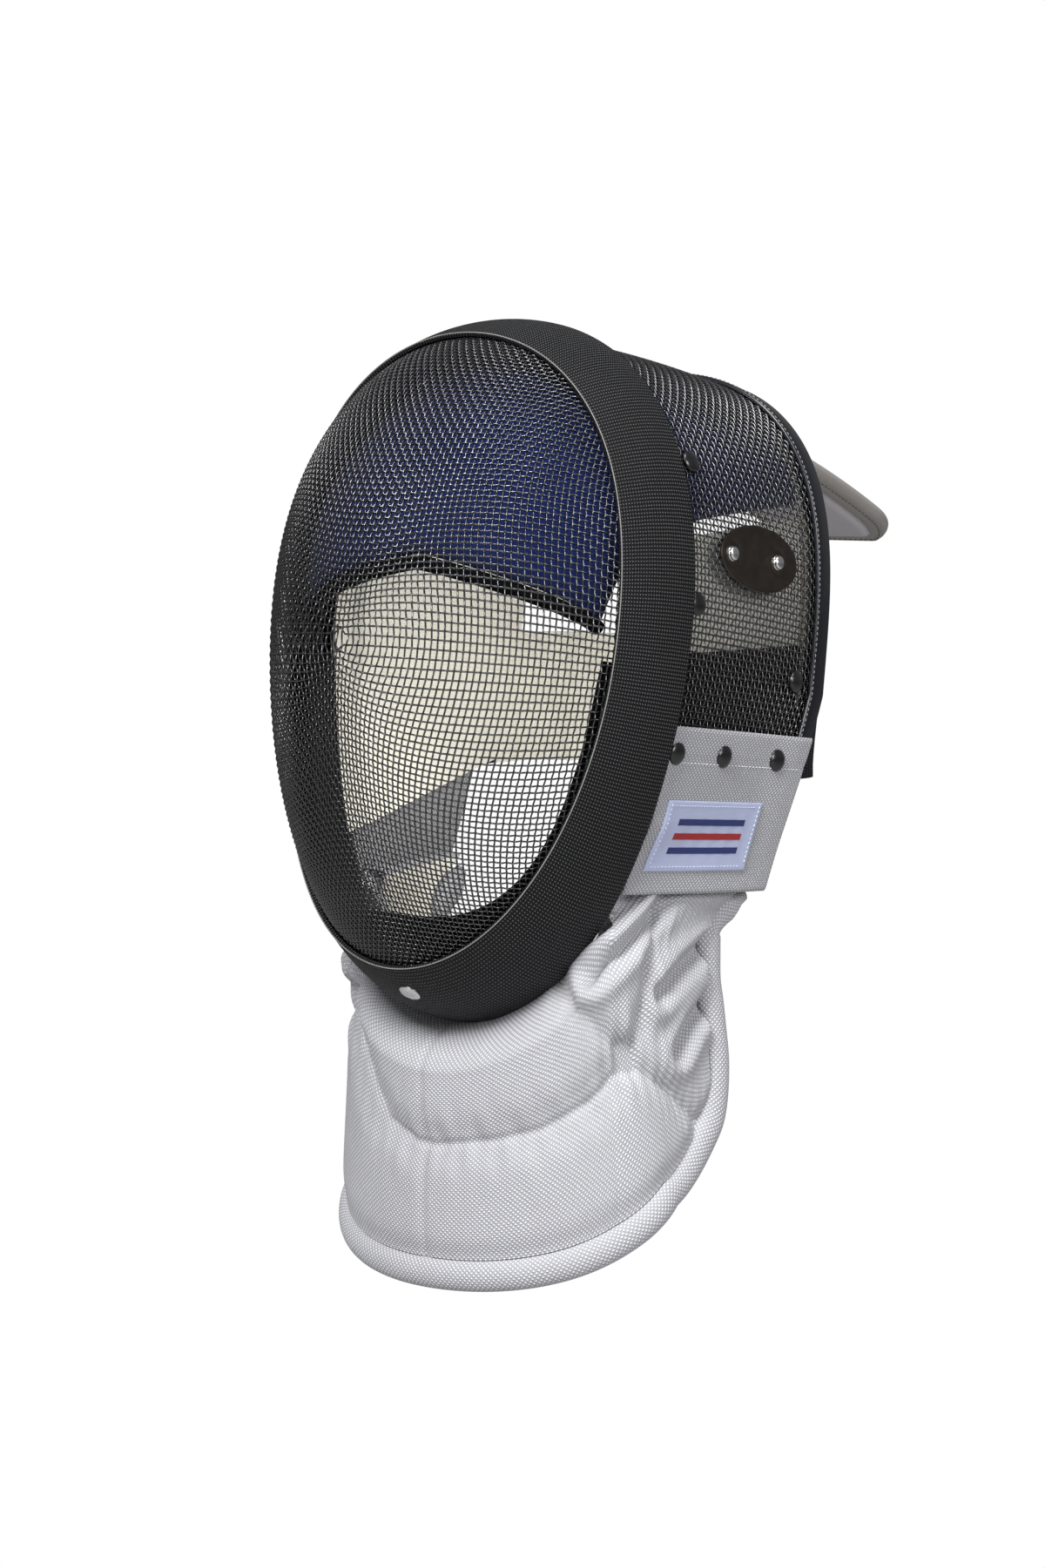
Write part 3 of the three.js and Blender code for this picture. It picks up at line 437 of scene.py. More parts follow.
def shell(name, outer, inner, ring=False, flat_angle=50):
    """A closed wall between two grids of points. Its texture map is in centimetres."""
    rows, columns = outer.shape[:2]
    along, across = lengths(outer, 0), lengths(outer, 1, ring)
    r, c = grid_faces(rows, columns, ring)
    front = r * columns + c % columns
    faces = [front, front[:, ::-1] + rows * columns]
    maps = [(r, c), (r[:, ::-1], c[:, ::-1])]
    half = rows * columns
    spans = np.arange(columns if ring else columns - 1)
    for row, turn in ((0, 1), (rows - 1, -1)):
        a = row * columns + spans
        b = row * columns + (spans + 1) % columns
        quad = np.stack([a, b, b + half, a + half], -1)[:, ::turn]
        faces.append(quad)
        maps.append((np.full_like(quad, row), np.stack([spans, spans + 1, spans + 1, spans], -1)[:, ::turn]))
    if not ring:
        steps = np.arange(rows - 1)
        for column, turn in ((0, -1), (columns - 1, 1)):
            a = steps * columns + column
            b = a + columns
            quad = np.stack([a, b, b + half, a + half], -1)[:, ::turn]
            faces.append(quad)
            rows_at = np.stack([steps, steps + 1, steps + 1, steps], -1)[:, ::turn]
            maps.append((rows_at, np.full_like(quad, column)))
    uv = np.concatenate([np.stack([across[c], along[r]], -1) for r, c in maps])
    points = np.concatenate([outer.reshape(-1, 3), inner.reshape(-1, 3)])
    return build(name, points, np.concatenate(faces), uv, flat_angle)


def rings(name, sections, ring=False, flat_angle=50, caps=True):
    """A bar through closed sections of points: stations by corners by 3."""
    stations, corners = sections.shape[:2]
    looped = np.concatenate([sections, sections[:1]]) if ring else sections
    along = lengths(looped, 0)
    across = lengths(sections, 1, True)
    r, c = grid_faces(stations + (1 if ring else 0), corners, True)
    faces = [(r % stations) * corners + c % corners]
    uv = [np.stack([across[c], along[r]], -1)]
    points = sections.reshape(-1, 3)
    if caps and not ring:
        middle = np.stack([sections[0].mean(0), sections[-1].mean(0)])
        points = np.concatenate([points, middle])
        for station, centre, turn in ((0, len(points) - 2, 1), (stations - 1, len(points) - 1, -1)):
            k = np.arange(0, corners, 2)
            quad = np.stack([
                station * corners + k, station * corners + (k + 1) % corners,
                station * corners + (k + 2) % corners, np.full_like(k, centre),
            ], -1)[:, ::turn]
            faces.append(quad)
            uv.append(np.zeros(quad.shape + (2,)))
    return build(name, points, np.concatenate(faces), np.concatenate(uv), flat_angle)


def frames(path, normals=None, ring=False):
    """The direction, normal and sideways vectors along a line of points."""
    if ring:
        along = unit(np.roll(path, -1, 0) - np.roll(path, 1, 0))
    else:
        along = unit(np.gradient(path, axis=0))
    if normals is None:
        normals = np.zeros_like(path)
        normals[:, 2] = 1
    normals = unit(normals - along * np.sum(normals * along, -1, keepdims=True))
    return along, normals, np.cross(along, normals)


def around(path, normals, across, radius, corners):
    """Round sections along a line: stations by corners by 3. The radius may be one value a station."""
    turn = np.linspace(0, 2 * math.pi, corners, endpoint=False)
    radius = np.broadcast_to(radius, len(path))[:, None, None]
    return (
        path[:, None]
        + normals[:, None] * np.cos(turn)[None, :, None] * radius
        + across[:, None] * np.sin(turn)[None, :, None] * radius
    )


def tube(name, path, radius, corners, normals=None, ring=False):
    _, normals, across = frames(path, normals, ring)
    return rings(name, around(path, normals, across, radius, corners), ring)


def wires(name, paths, radius, sides):
    """Many thin wires in one mesh. Each path is a line of points with the normals along it."""
    points, faces, base = [], [], 0
    for path, normals in paths:
        _, normals, across = frames(path, normals)
        points.append(around(path, normals, across, radius, sides).reshape(-1, 3))
        r, c = grid_faces(len(path), sides, True)
        faces.append(r * sides + c % sides + base)
        base += len(path) * sides
    return build(name, np.concatenate(points), np.concatenate(faces), None, 0)


def resample(path, step, *others):
    """The path and what goes along with it, at even steps."""
    distance = np.concatenate([[0], np.cumsum(np.linalg.norm(np.diff(path, axis=0), axis=-1))])
    count = max(int(round(distance[-1] / step)), 2)
    at = np.linspace(0, distance[-1], count + 1)
    return [np.stack([np.interp(at, distance, a[:, k]) for k in range(3)], -1) for a in (path, *others)]


STITCH_STEPS = 6
STITCH_SHARE = 0.68
STITCH_SWELL = np.array([0.35, 0.9, 1.0, 0.9, 0.35])
STITCH_SIDES = 6


def stitches(name, path, normals, material, slot, radius, pitch=2.8):
    """A row of short raised threads along a line on a surface."""
    path, normals = resample(path, pitch / STITCH_STEPS, normals)
    normals = unit(normals)
    points = len(STITCH_SWELL)
    share = np.linspace(0, STITCH_SHARE, points)[:, None]
    rise = np.sin(np.linspace(0, math.pi, points))[:, None] * radius * 0.6
    runs = []
    for start in range(0, len(path) - STITCH_STEPS, STITCH_STEPS):
        line = lerp(path[start], path[start + STITCH_STEPS], share) + normals[start] * rise
        runs.append((line, np.repeat(normals[start:start + 1], points, 0)))
    return finish_piece(wires(name, runs, radius * STITCH_SWELL, STITCH_SIDES), material, slot)


def turned(name, sections, flat_angle):
    """A mesh through closed rows of points, from the outer edge to the middle."""
    rows, corners = sections.shape[:2]
    r, c = grid_faces(rows, corners, True)
    return build(name, sections, (r * corners + c % corners)[:, ::-1], None, flat_angle)


def lathe(name, centre, out, profile, material, slot, *nodes, segments=32):
    """A round head from a profile of radius and height."""
    helper = np.array([0, 0, 1.0]) if abs(out[2]) < 0.9 else np.array([1.0, 0, 0])
    across = unit(np.cross(out, helper))
    over = np.cross(out, across)
    turn = np.linspace(0, 2 * math.pi, segments, endpoint=False)
    radius, height = np.array(profile, float).T
    section = (
        centre + out * height[:, None, None]
        + (across * np.cos(turn)[:, None] + over * np.sin(turn)[:, None])[None] * radius[:, None, None]
    )
    return finish_piece(turned(name, section, 40), material, slot, *nodes)


def rivet_profile(radius):
    shares = [(1, -0.2), (1, 0.5), (0.94, 0.95), (0.8, 1.4), (0.6, 1.85), (0.35, 2.1)]
    return [(radius * share, height) for share, height in shares] + [(0.01, 2.2)]


def edged(count, roll):
    """Shares from 0 to 1 that crowd towards both ends."""
    near = roll * (1 - np.cos(np.linspace(0, math.pi / 2, 7)))
    middle = np.linspace(roll, 1 - roll, count)[1:-1]
    return np.concatenate([near, middle, 1 - near[::-1]])


def rolled_grid(rows, row_roll, columns, column_roll):
    """Shares down and across a sheet, and how far its edges, rounded off over each roll, have risen."""
    u, v = np.meshgrid(edged(rows, row_roll), edged(columns, column_roll), indexing="ij")
    near_u = np.minimum(np.minimum(u, 1 - u) / row_roll, 1)
    near_v = np.minimum(np.minimum(v, 1 - v) / column_roll, 1)
    return u, v, (1 - (1 - near_u) ** 2) ** 0.5 * (1 - (1 - near_v) ** 2) ** 0.5


# Materials. Sockets 6 and 7 and output 2 of a Mix node are its two colours and its result.
ROUGHNESS_SPREAD = 0.1


def shader(name, colour, roughness, metallic=0.0, specular=0.5, sheen=0.0, coat=0.0):
    material = bpy.data.materials.new(name)
    material.use_nodes = True
    nodes = material.node_tree.nodes
    bsdf = nodes["Principled BSDF"]
    bsdf.inputs["Base Color"].default_value = (*colour, 1)
    bsdf.inputs["Roughness"].default_value = roughness
    bsdf.inputs["Metallic"].default_value = metallic
    bsdf.inputs["Specular IOR Level"].default_value = specular
    bsdf.inputs["Sheen Weight"].default_value = sheen
    bsdf.inputs["Coat Weight"].default_value = coat
    return material


def node(tree, kind, sockets=None, **settings):
    item = tree.nodes.new(kind)
    for key, value in settings.items():
        setattr(item, key, value)
    for key, value in (sockets or {}).items():
        item.inputs[key].default_value = value
    return item


def colour_mix(tree, factor, dark, light):
    mix = node(tree, "ShaderNodeMix", {6: (*dark, 1), 7: (*light, 1)}, data_type="RGBA")
    tree.links.new(factor, mix.inputs[0])
    return mix.outputs[2]


def add_relief(tree, bsdf, height, depth):
    bump = node(tree, "ShaderNodeBump", {"Strength": 1.0, "Distance": depth * MM})
    tree.links.new(height, bump.inputs["Height"])
    tree.links.new(bump.outputs["Normal"], bsdf.inputs["Normal"])


def woven(name, dark, light, roughness, pitch, depth, turn=0.0, specular=0.35, sheen=0.1, blotch=0.12,
          stretch=1.0, sharp=1.0):
    """Cloth: a woven relief with painted shade in its hollows and the light colour on its thread tops, with
    slow blotches.
    """
    material = shader(name, light, roughness, specular=specular, sheen=sheen)
    tree = material.node_tree
    link = tree.links.new
    bsdf = tree.nodes["Principled BSDF"]
    where = node(tree, "ShaderNodeTexCoord")
    mapping = node(tree, "ShaderNodeMapping", {"Rotation": (0, 0, turn), "Scale": (1, stretch, 1)})
    link(where.outputs["UV"], mapping.inputs["Vector"])
    product = node(tree, "ShaderNodeMath", operation="MULTIPLY")
    for index, direction in enumerate("XY"):
        wave = node(tree, "ShaderNodeTexWave",
                    {"Scale": math.pi / pitch, "Distortion": 0.6, "Detail": 1.0, "Detail Scale": 0.6},
                    wave_type="BANDS", bands_direction=direction)
        link(mapping.outputs["Vector"], wave.inputs["Vector"])
        link(wave.outputs["Fac"], product.inputs[index])
    peak = node(tree, "ShaderNodeMath", {1: sharp}, operation="POWER")
    link(product.outputs[0], peak.inputs[0])
    spots = node(tree, "ShaderNodeTexNoise", {"Scale": 14.0, "Detail": 3.0})
    link(where.outputs["Object"], spots.inputs["Vector"])
    tone = node(tree, "ShaderNodeMapRange", {
        "From Min": 0.3, "From Max": 0.7, "To Min": 1 - blotch, "To Max": 1.0,
    })
    link(spots.outputs["Fac"], tone.inputs["Value"])
    shade = node(tree, "ShaderNodeMix", {0: 1.0}, data_type="RGBA", blend_type="MULTIPLY")
    # The weave's height picks the colour: painted shade in the hollows, the light colour on the thread tops.
    link(colour_mix(tree, peak.outputs[0], dark, light), shade.inputs[6])
    link(tone.outputs[0], shade.inputs[7])
    link(shade.outputs[2], bsdf.inputs["Base Color"])
    add_relief(tree, bsdf, product.outputs[0], depth)
    return material


def grained(name, dark, light, roughness, scale, depth, metallic=0.0, specular=0.5, sheen=0.0, coat=0.0):
    """A surface with a fine random grain in its colour, roughness and relief."""
    material = shader(name, light, roughness, metallic, specular, sheen, coat)
    tree = material.node_tree
    link = tree.links.new
    bsdf = tree.nodes["Principled BSDF"]
    where = node(tree, "ShaderNodeTexCoord")
    noise = node(tree, "ShaderNodeTexNoise", {"Scale": scale, "Detail": 6.0, "Roughness": 0.6})
    link(where.outputs["Object"], noise.inputs["Vector"])
    link(colour_mix(tree, noise.outputs["Fac"], dark, light), bsdf.inputs["Base Color"])
    rough = node(tree, "ShaderNodeMapRange", {
        "To Min": max(roughness - ROUGHNESS_SPREAD, 0.02), "To Max": min(roughness + ROUGHNESS_SPREAD, 1.0),
    })
    link(noise.outputs["Fac"], rough.inputs["Value"])
    link(rough.outputs[0], bsdf.inputs["Roughness"])
    add_relief(tree, bsdf, noise.outputs["Fac"], depth)
    return material


WIRE = grained("wire_enamel", (0.004, 0.004, 0.005), (0.012, 0.012, 0.014), 0.26, 900, 0.01,
               specular=0.9, coat=0.6)
# Black tape: its light colour paints highlights on the thread tops, and its dark colour paints shade in the
# hollows.
BAND = woven("band_cloth", (0.001, 0.001, 0.0015), (0.2, 0.205, 0.22), 0.6, 1.7, 0.5,
             specular=0.25, sheen=0.0, blotch=0.35, sharp=4.0)
BINDING = grained("binding_leather", (0.002, 0.002, 0.004), (0.007, 0.008, 0.013), 0.3, 1400, 0.05, coat=0.2)
EDGE_THREAD = shader("edge_thread", (0.2, 0.195, 0.185), 0.6)
# The bib's dark colour is painted shade for the hollows of its weave; the light one is the cloth's own
# colour.
BIB_HOLLOW_SHADE = (0.34, 0.34, 0.37)
BIB_LIGHT = (0.84, 0.84, 0.875)
BIB_CLOTH = woven("bib_cloth", BIB_HOLLOW_SHADE, BIB_LIGHT, 0.9, 1.7, 0.5, turn=math.pi / 4, blotch=0.1)
HEM_CLOTH = woven("hem_cloth", BIB_HOLLOW_SHADE, BIB_LIGHT, 0.9, 1.7, 0.45, turn=math.pi / 4, blotch=0.1)
# A darker copy of the bib cloth: the tab is the same cloth, and its darker colours are painted shade.
SHADED_TAB_CLOTH = woven("tab_cloth", (0.26, 0.26, 0.285), (0.7, 0.705, 0.735), 0.9, 1.6, 0.5,
                  turn=math.pi / 4, blotch=0.16)
SEAM_THREAD = shader("seam_thread", (0.7, 0.7, 0.74), 0.7)
# The first colour of each woven cloth here is painted shade in its weave's hollows.
SATIN = woven("label_satin", (0.33, 0.37, 0.55), (0.5, 0.54, 0.72), 0.36, 0.5, 0.05, specular=0.6, sheen=0.3)
LABEL_THREAD = shader("label_thread", (0.62, 0.66, 0.82), 0.5)
RED = woven("label_red", (0.25, 0.01, 0.01), (0.42, 0.02, 0.025), 0.5, 0.6, 0.06)
BLUE = woven("label_navy", (0.01, 0.02, 0.1), (0.02, 0.035, 0.18), 0.5, 0.6, 0.06)
BRONZE = grained("plate_bronze", (0.05, 0.04, 0.033), (0.115, 0.093, 0.077), 0.36, 160, 0.02, metallic=1.0)
STEEL = grained("bright_steel", (0.55, 0.55, 0.55), (0.8, 0.8, 0.8), 0.25, 400, 0.01, metallic=1.0)
LACQUER = grained("rivet_lacquer", (0.002, 0.002, 0.003), (0.006, 0.006, 0.008), 0.3, 500, 0.01, coat=0.3)
NAVY = grained("navy_plush", (0.002, 0.006, 0.045), (0.012, 0.028, 0.15), 0.9, 900, 0.5,
               specular=0.1, sheen=0.15)
# The first colour of each woven cloth here is painted shade in its weave's hollows.
BLACK = woven("black_cloth", (0.001, 0.001, 0.001), (0.008, 0.008, 0.009), 0.85, 1.2, 0.2,
              specular=0.1, sheen=0.0)
WEBBING = woven("strap_webbing", (0.002, 0.002, 0.003), (0.035, 0.035, 0.045), 0.75, 1.3, 0.25,
                specular=0.2, sheen=0.0, stretch=0.5)
CREAM = woven("cream_cloth", (0.8, 0.77, 0.68), (0.97, 0.95, 0.88), 0.9, 1.4, 0.1, blotch=0.03)
TONGUE = grained("tongue_cloth", (0.17, 0.16, 0.15), (0.26, 0.245, 0.23), 0.62, 700, 0.06, sheen=0.1)
PANEL = grained("panel_cloth", (0.3, 0.285, 0.31), (0.4, 0.38, 0.41), 0.7, 500, 0.06, sheen=0.1)
TONGUE_THREAD = shader("tongue_thread", (0.1, 0.095, 0.09), 0.6)

# Woven wire: warp and weft on a lattice with a point at each crossing and halfway between
WIRE_PITCH = 3.0
WIRE_RADIUS = 0.5
WIRE_SWING = 0.5
SHORTEST_RUN = 3
FACE_WIRE_SIDES = 3
SIDE_WIRE_SIDES = 4
FACE_MIDDLE = -(BAND_WALL / 2 + CLEARANCE) - MESH_WALL / 2
FACE_ANGLES = 361
FACE_ROWS = 260
FACE_LEAST_SHARE = 0.02
FACE_TIP_REACH = 4
SIDE_ANGLES = 961
SIDE_FIRST = 0.004
SIDE_LAST = 0.997


def runs_of(valid):
    """Each unbroken run of true values, as start and end."""
    edges = np.flatnonzero(np.diff(np.concatenate([[0], valid.astype(int), [0]])))
    return [(a, b) for a, b in zip(edges[::2], edges[1::2]) if b - a > SHORTEST_RUN]


def weave(name, base, normals, valid, sides, cad_node):
    i, j = np.meshgrid(np.arange(base.shape[0]), np.arange(base.shape[1]), indexing="ij")
    swing = WIRE_SWING * np.cos(math.pi / 2 * (i + j))[..., None]
    warp, weft = [], []
    for row in range(0, base.shape[0], 2):
        for a, b in runs_of(valid[row]):
            warp.append(((base + normals * swing)[row, a:b], normals[row, a:b]))
    for column in range(0, base.shape[1], 2):
        for a, b in runs_of(valid[:, column]):
            weft.append(((base - normals * swing)[a:b, column], normals[a:b, column]))
    for way, runs in (("warp", warp), ("weft", weft)):
        finish_piece(wires(f"{name}_{way}", runs, WIRE_RADIUS, sides), WIRE, "wire_mesh", cad_node)


def face_lattice():
    """Points of the face dome that lie a given distance along it, sideways and up, from its tip."""
    angles = np.linspace(0, 2 * math.pi, FACE_ANGLES)
    rows = np.linspace(FACE_TIP, FACE_END, FACE_ROWS)
    grid = face(rows[:, None], angles[None, :])
    steps = np.linalg.norm(np.diff(grid, axis=0), axis=-1)
    reach = np.concatenate([np.zeros((1, FACE_ANGLES)), np.cumsum(steps, 0)])
    ends = reach[-1]
    even = np.linspace(0, 1, FACE_ROWS)
    shares_at = np.stack([np.interp(even, reach[:, k] / ends[k], rows) for k in range(FACE_ANGLES)], 1)
    half = WIRE_PITCH / 2
    wide = int(ends.max() / half) + 2
    along = np.arange(-wide, wide + 1) * half
    across, up = np.meshgrid(along, along, indexing="ij")
    distance = np.hypot(across, up)
    angle = np.mod(np.arctan2(across, up), 2 * math.pi)
    end = np.interp(angle, angles, ends)
    column = angle / (2 * math.pi) * (FACE_ANGLES - 1)
    left = np.clip(column.astype(int), 0, FACE_ANGLES - 2)
    row = np.clip(distance / end, 0, 1) * (FACE_ROWS - 1)
    above = np.clip(row.astype(int), 0, FACE_ROWS - 2)
    to_right, down = column - left, row - above
    share = lerp(
        lerp(shares_at[above, left], shares_at[above, left + 1], to_right),
        lerp(shares_at[above + 1, left], shares_at[above + 1, left + 1], to_right),
        down,
    )
    share = np.maximum(share, FACE_LEAST_SHARE)
    angle = np.where(distance < 1, 0.0, angle)
    normals = normal_of(face, share, angle, from_head)
    base = face(share, angle) + normals * FACE_MIDDLE
    close = distance < FACE_TIP_REACH
    base[close, 0] = across[close]
    return base, normals, distance <= end


def side_lattice():
    """Points of the side mesh: rows run round it behind the rim, columns run straight back."""
    fine = np.linspace(-SIDE_END_ANGLE, SIDE_END_ANGLE, SIDE_ANGLES)
    count = int(round(SIDE_LENGTH / WIRE_PITCH)) * 2
    rows = np.linspace(SIDE_FIRST, SIDE_LAST, count + 1)
    middle = side(np.full(SIDE_ANGLES, 0.5), fine)
    reach = np.concatenate([[0], np.cumsum(np.linalg.norm(np.diff(middle, axis=0), axis=-1))])
    across = int(round(reach[-1] / WIRE_PITCH)) * 2

    def bearing(share):
        p = side(np.full(SIDE_ANGLES, share), fine)
        up = p[:, 1] * SIN_TILT + p[:, 2] * COS_TILT
        return np.unwrap(np.arctan2(p[:, 0], up))

    wanted = np.interp(np.linspace(0, reach[-1], across + 1), reach, bearing(0.5))
    base, normals, valid = [], [], []
    for share in rows:
        own = bearing(share)
        angle = np.interp(wanted, own, fine)
        spot = np.full_like(angle, share)
        n = normal_of(side, spot, angle, from_head)
        base.append(side(spot, angle) - n * MESH_WALL / 2)
        normals.append(n)
        valid.append((wanted > own[0] - 1e-9) & (wanted < own[-1] + 1e-9))
    return np.stack(base), np.stack(normals), np.stack(valid)


weave("front_weave", *face_lattice(), FACE_WIRE_SIDES, "front_mesh")
weave("side_weave", *side_lattice(), SIDE_WIRE_SIDES, "side_mesh")

# Rim band with its folded front edge
ring = np.linspace(0, 2 * math.pi, 288, endpoint=False)
rows = np.linspace(BAND_ROW, 1, 13)
band_face = np.stack([face_row(np.full_like(ring, r), ring, BAND_WALL / 2) for r in rows], 1)
band_back = np.stack([face_row(np.full_like(ring, r), ring, -BAND_WALL / 2) for r in rows], 1)
back = place(0.0, 1.0, 0.0)
edge = face(np.ones_like(ring), ring)
seat = side(np.zeros_like(ring), np.where(ring > math.pi, ring - 2 * math.pi, ring))
inward = unit(seat - edge)
shoulder = edge - inward * BAND_WALL / 2 + back * BAND_RETURN * 0.7
lip = seat - inward * CLEARANCE
lip_rear = lip + back * BAND_RETURN
front_fold = (band_face[:, 0] + band_back[:, 0]) / 2 - unit(band_face[:, 1] - band_face[:, 0]) * 0.5
sections = np.concatenate([
    front_fold[:, None], band_face, shoulder[:, None], ((shoulder + lip_rear) / 2 + back * 0.5)[:, None],
    lip_rear[:, None], lip[:, None], band_back[:, ::-1],
], 1)
band = finish_piece(rings("rim_band_tape", sections, ring=True), BAND, "band_fabric", "rim_band")
thread_line = band_face[:, 0] + unit(band_face[:, 0] - band_back[:, 0]) * 0.15
finish_piece(tube("rim_band_front_thread", thread_line, 0.26, 8, ring=True), EDGE_THREAD, "band_fabric")

# Rear binding of the side mesh
turns = np.linspace(-SIDE_END_ANGLE, SIDE_END_ANGLE, 193)
rear_edge = side(np.ones_like(turns), turns)
rear_inside = side(np.full_like(turns, 1 - BINDING_WIDTH / SIDE_LENGTH), turns)
rearward = unit(rear_edge - rear_inside)
outward = normal_of(side, np.full_like(turns, 0.99), turns, from_head)
high = CLEARANCE + BINDING_WALL
low = -MESH_WALL - CLEARANCE - BINDING_WALL
front = -BINDING_WIDTH
slot_floor = -MESH_WALL - CLEARANCE


def binding_bar(name, profile, ends=slice(None)):
    """A bar round the rear edge, from a profile of distances behind the edge and outside the mesh."""
    sections = np.stack([rear_edge + rearward * a + outward * b for a, b in profile], 1)
    return rings(name, sections[ends])


tape_profile = [
    (front, high - 0.5), (front + 0.5, high), (-4, high), (1.2, high), (1.9, high - 0.2), (2.1, high - 0.8),
    (2.1, low + 0.8), (1.9, low + 0.2), (1.2, low), (front + 0.5, low), (front, low + 0.5),
    (front, slot_floor), (0.3, slot_floor), (0.3, CLEARANCE), (front, CLEARANCE), (front, high - 0.9),
]
finish_piece(binding_bar("rear_binding_tape", tape_profile), BINDING, "band_fabric", "rear_binding")
facing_profile = [
    (front - 0.5, low - 0.15), (1.5, low - 0.15), (1.5, low - 0.45), (1.2, low - 0.7), (front, low - 0.7),
    (front - 0.5, low - 0.45),
]
finish_piece(binding_bar("rear_binding_facing", facing_profile, slice(20, -20)), CREAM, "lining_fabric")
stitch_line = rear_edge - rearward * (BINDING_WIDTH - 1.0) + outward * high
stitches("rear_binding_stitch", stitch_line, outward, EDGE_THREAD, "band_fabric", 0.26, pitch=2.6)

# Bib. Seams and folds are lines of station and height on it.
BIB_ARC = 117.0
BIB_STRAIGHT = 36.0
DEEPEST_RELIEF = 7.2
VEE = [(-0.38, -155), (-0.33, -167.6), (-0.275, -180.7), (-0.2, -199.6), (-0.145, -213), (-0.05, -220.5),
       (0, -221.6), (0.15, -217.1), (0.27, -210.7), (0.395, -197.4), (0.505, -179.2)]
SLANT_UPPER = [(0.31, -147.2), (0.41, -163), (0.505, -179.2)]
SLANT_LOWER = [(0.505, -179.2), (0.7, -195), (0.9, -210.7)]
UPRIGHT = [(0.64, -100), (0.595, -129), (0.575, -146.7), (0.55, -165.2), (0.505, -179.2)]
CENTRE = [(-0.03, -162), (-0.02, -220), (-0.015, -278)]
RIDGE = [(-0.42, -140), (-0.33, -152), (-0.235, -163.9), (-0.115, -171.6), (-0.035, -174.2), (0.105, -170.3),
         (0.23, -155.2), (0.31, -143)]
FOLDS = [[(0.6, -112), (0.5, -126), (0.395, -141)], [(0.99, -131), (0.82, -139), (0.65, -150)],
         [(0.99, -158), (0.88, -166), (0.77, -178)], [(0.52, -104), (0.42, -116), (0.33, -126)]]


def bib_flat(station, height):
    """A place on the bib rolled out flat."""
    t = np.abs(station)
    arc = np.where(
        t < BIB_CURVE_SHARE, BIB_ARC * t / BIB_CURVE_SHARE,
        BIB_ARC + BIB_STRAIGHT * (t - BIB_CURVE_SHARE) / (1 - BIB_CURVE_SHARE),
    )
    return np.sign(station) * arc, height


def distance_to(line, station, height):
    """The distance on the flattened bib to a line of stations and heights."""
    x, y = bib_flat(station, height)
    points = np.array(line, float)
    px, py = bib_flat(points[:, 0], points[:, 1])
    best = np.full(np.shape(x), 1e9)
    for a in range(len(px) - 1):
        dx, dy = px[a + 1] - px[a], py[a + 1] - py[a]
        t = np.clip(((x - px[a]) * dx + (y - py[a]) * dy) / (dx * dx + dy * dy), 0, 1)
        best = np.minimum(best, np.hypot(x - px[a] - t * dx, y - py[a] - t * dy))
    return best


def crease(distance, depth, width):
    """A valley below zero, deepest where the distance is zero."""
    return -depth * np.exp(-((distance / width) ** 2))


# Depth and width of the bib's valleys, stitched grooves and folds, in millimetres
VEE_VALLEY = 4.2, 10
VEE_GROOVE = 1.6, 2.2
VEE_PUCKER = 0.7, 16
SEAM_DEPTHS = [(SLANT_UPPER, 3.2), (SLANT_LOWER, 3.2), (UPRIGHT, 4.2)]
SEAM_WIDTH = 6
SEAM_GROOVE = 1.2, 1.8
SEAM_PUCKER = 0.5, 14
CENTRE_GROOVE = 0.9, 1.6
RIDGE_SWELL = 3.2, 8
FOLD_VALLEY = 5.0, 4.2
FOLD_SWELL = 2.6, 5
FOLD_SWELL_APART = 9
HEM_LEVEL = 0.95
HEM_GROOVE = 2.4, 7
BIB_HEIGHT = 130


def bib_relief(level, station):
    """How far the bib's outside stands out from its middle surface, in seams, ridges and folds."""
    height = lerp(bib_top(station)[..., 2], bib_hem_height(station), level)
    t = np.abs(station)
    apart = distance_to(VEE, station, height)
    pucker = np.sin(station * 95 + height * 0.13) * np.sin(station * 37 - height * 0.09)
    relief = crease(apart, *VEE_VALLEY) + crease(apart, *VEE_GROOVE) - pucker * crease(apart, *VEE_PUCKER)
    for line, depth in SEAM_DEPTHS:
        apart = distance_to(line, t, height)
        relief = relief + crease(apart, depth, SEAM_WIDTH) + crease(apart, *SEAM_GROOVE)
        relief = relief - pucker * crease(apart, *SEAM_PUCKER)
    relief = relief + crease(distance_to(CENTRE, station, height), *CENTRE_GROOVE)
    relief = relief - crease(distance_to(RIDGE, station, height), *RIDGE_SWELL)
    for line in FOLDS:
        apart = distance_to(line, t, height)
        relief = relief + crease(apart, *FOLD_VALLEY) - crease(apart - FOLD_SWELL_APART, *FOLD_SWELL)
    relief = relief + crease((level - HEM_LEVEL) * BIB_HEIGHT, *HEM_GROOVE)
    return np.maximum(relief, -DEEPEST_RELIEF)


def bib_grid(levels, stations):
    """The bib's middle surface and its outward normals."""
    level, station = np.meshgrid(levels, stations, indexing="ij")
    return level, station, bib_body(level, station), normal_of(bib_body, level, station, from_neck)


level, station, body, normal = bib_grid(np.linspace(0.02, 0.95, 140), np.linspace(-0.985, 0.985, 300))
outer = body + normal * bib_relief(level, station)[..., None]
inner = body - normal * BIB_WALL
bib = finish_piece(shell("bib_padding", outer, inner, flat_angle=60), BIB_CLOTH, "bib_fabric", "bib")
level, station, body, normal = bib_grid(np.linspace(0.03, 0.93, 30), np.linspace(-0.97, 0.97, 90))
outer = body - normal * (BIB_WALL + 0.1)
inner = body - normal * (BIB_WALL + 0.7)
bib_lining = finish_piece(shell("bib_lining_cloth", outer, inner), CREAM, "lining_fabric")

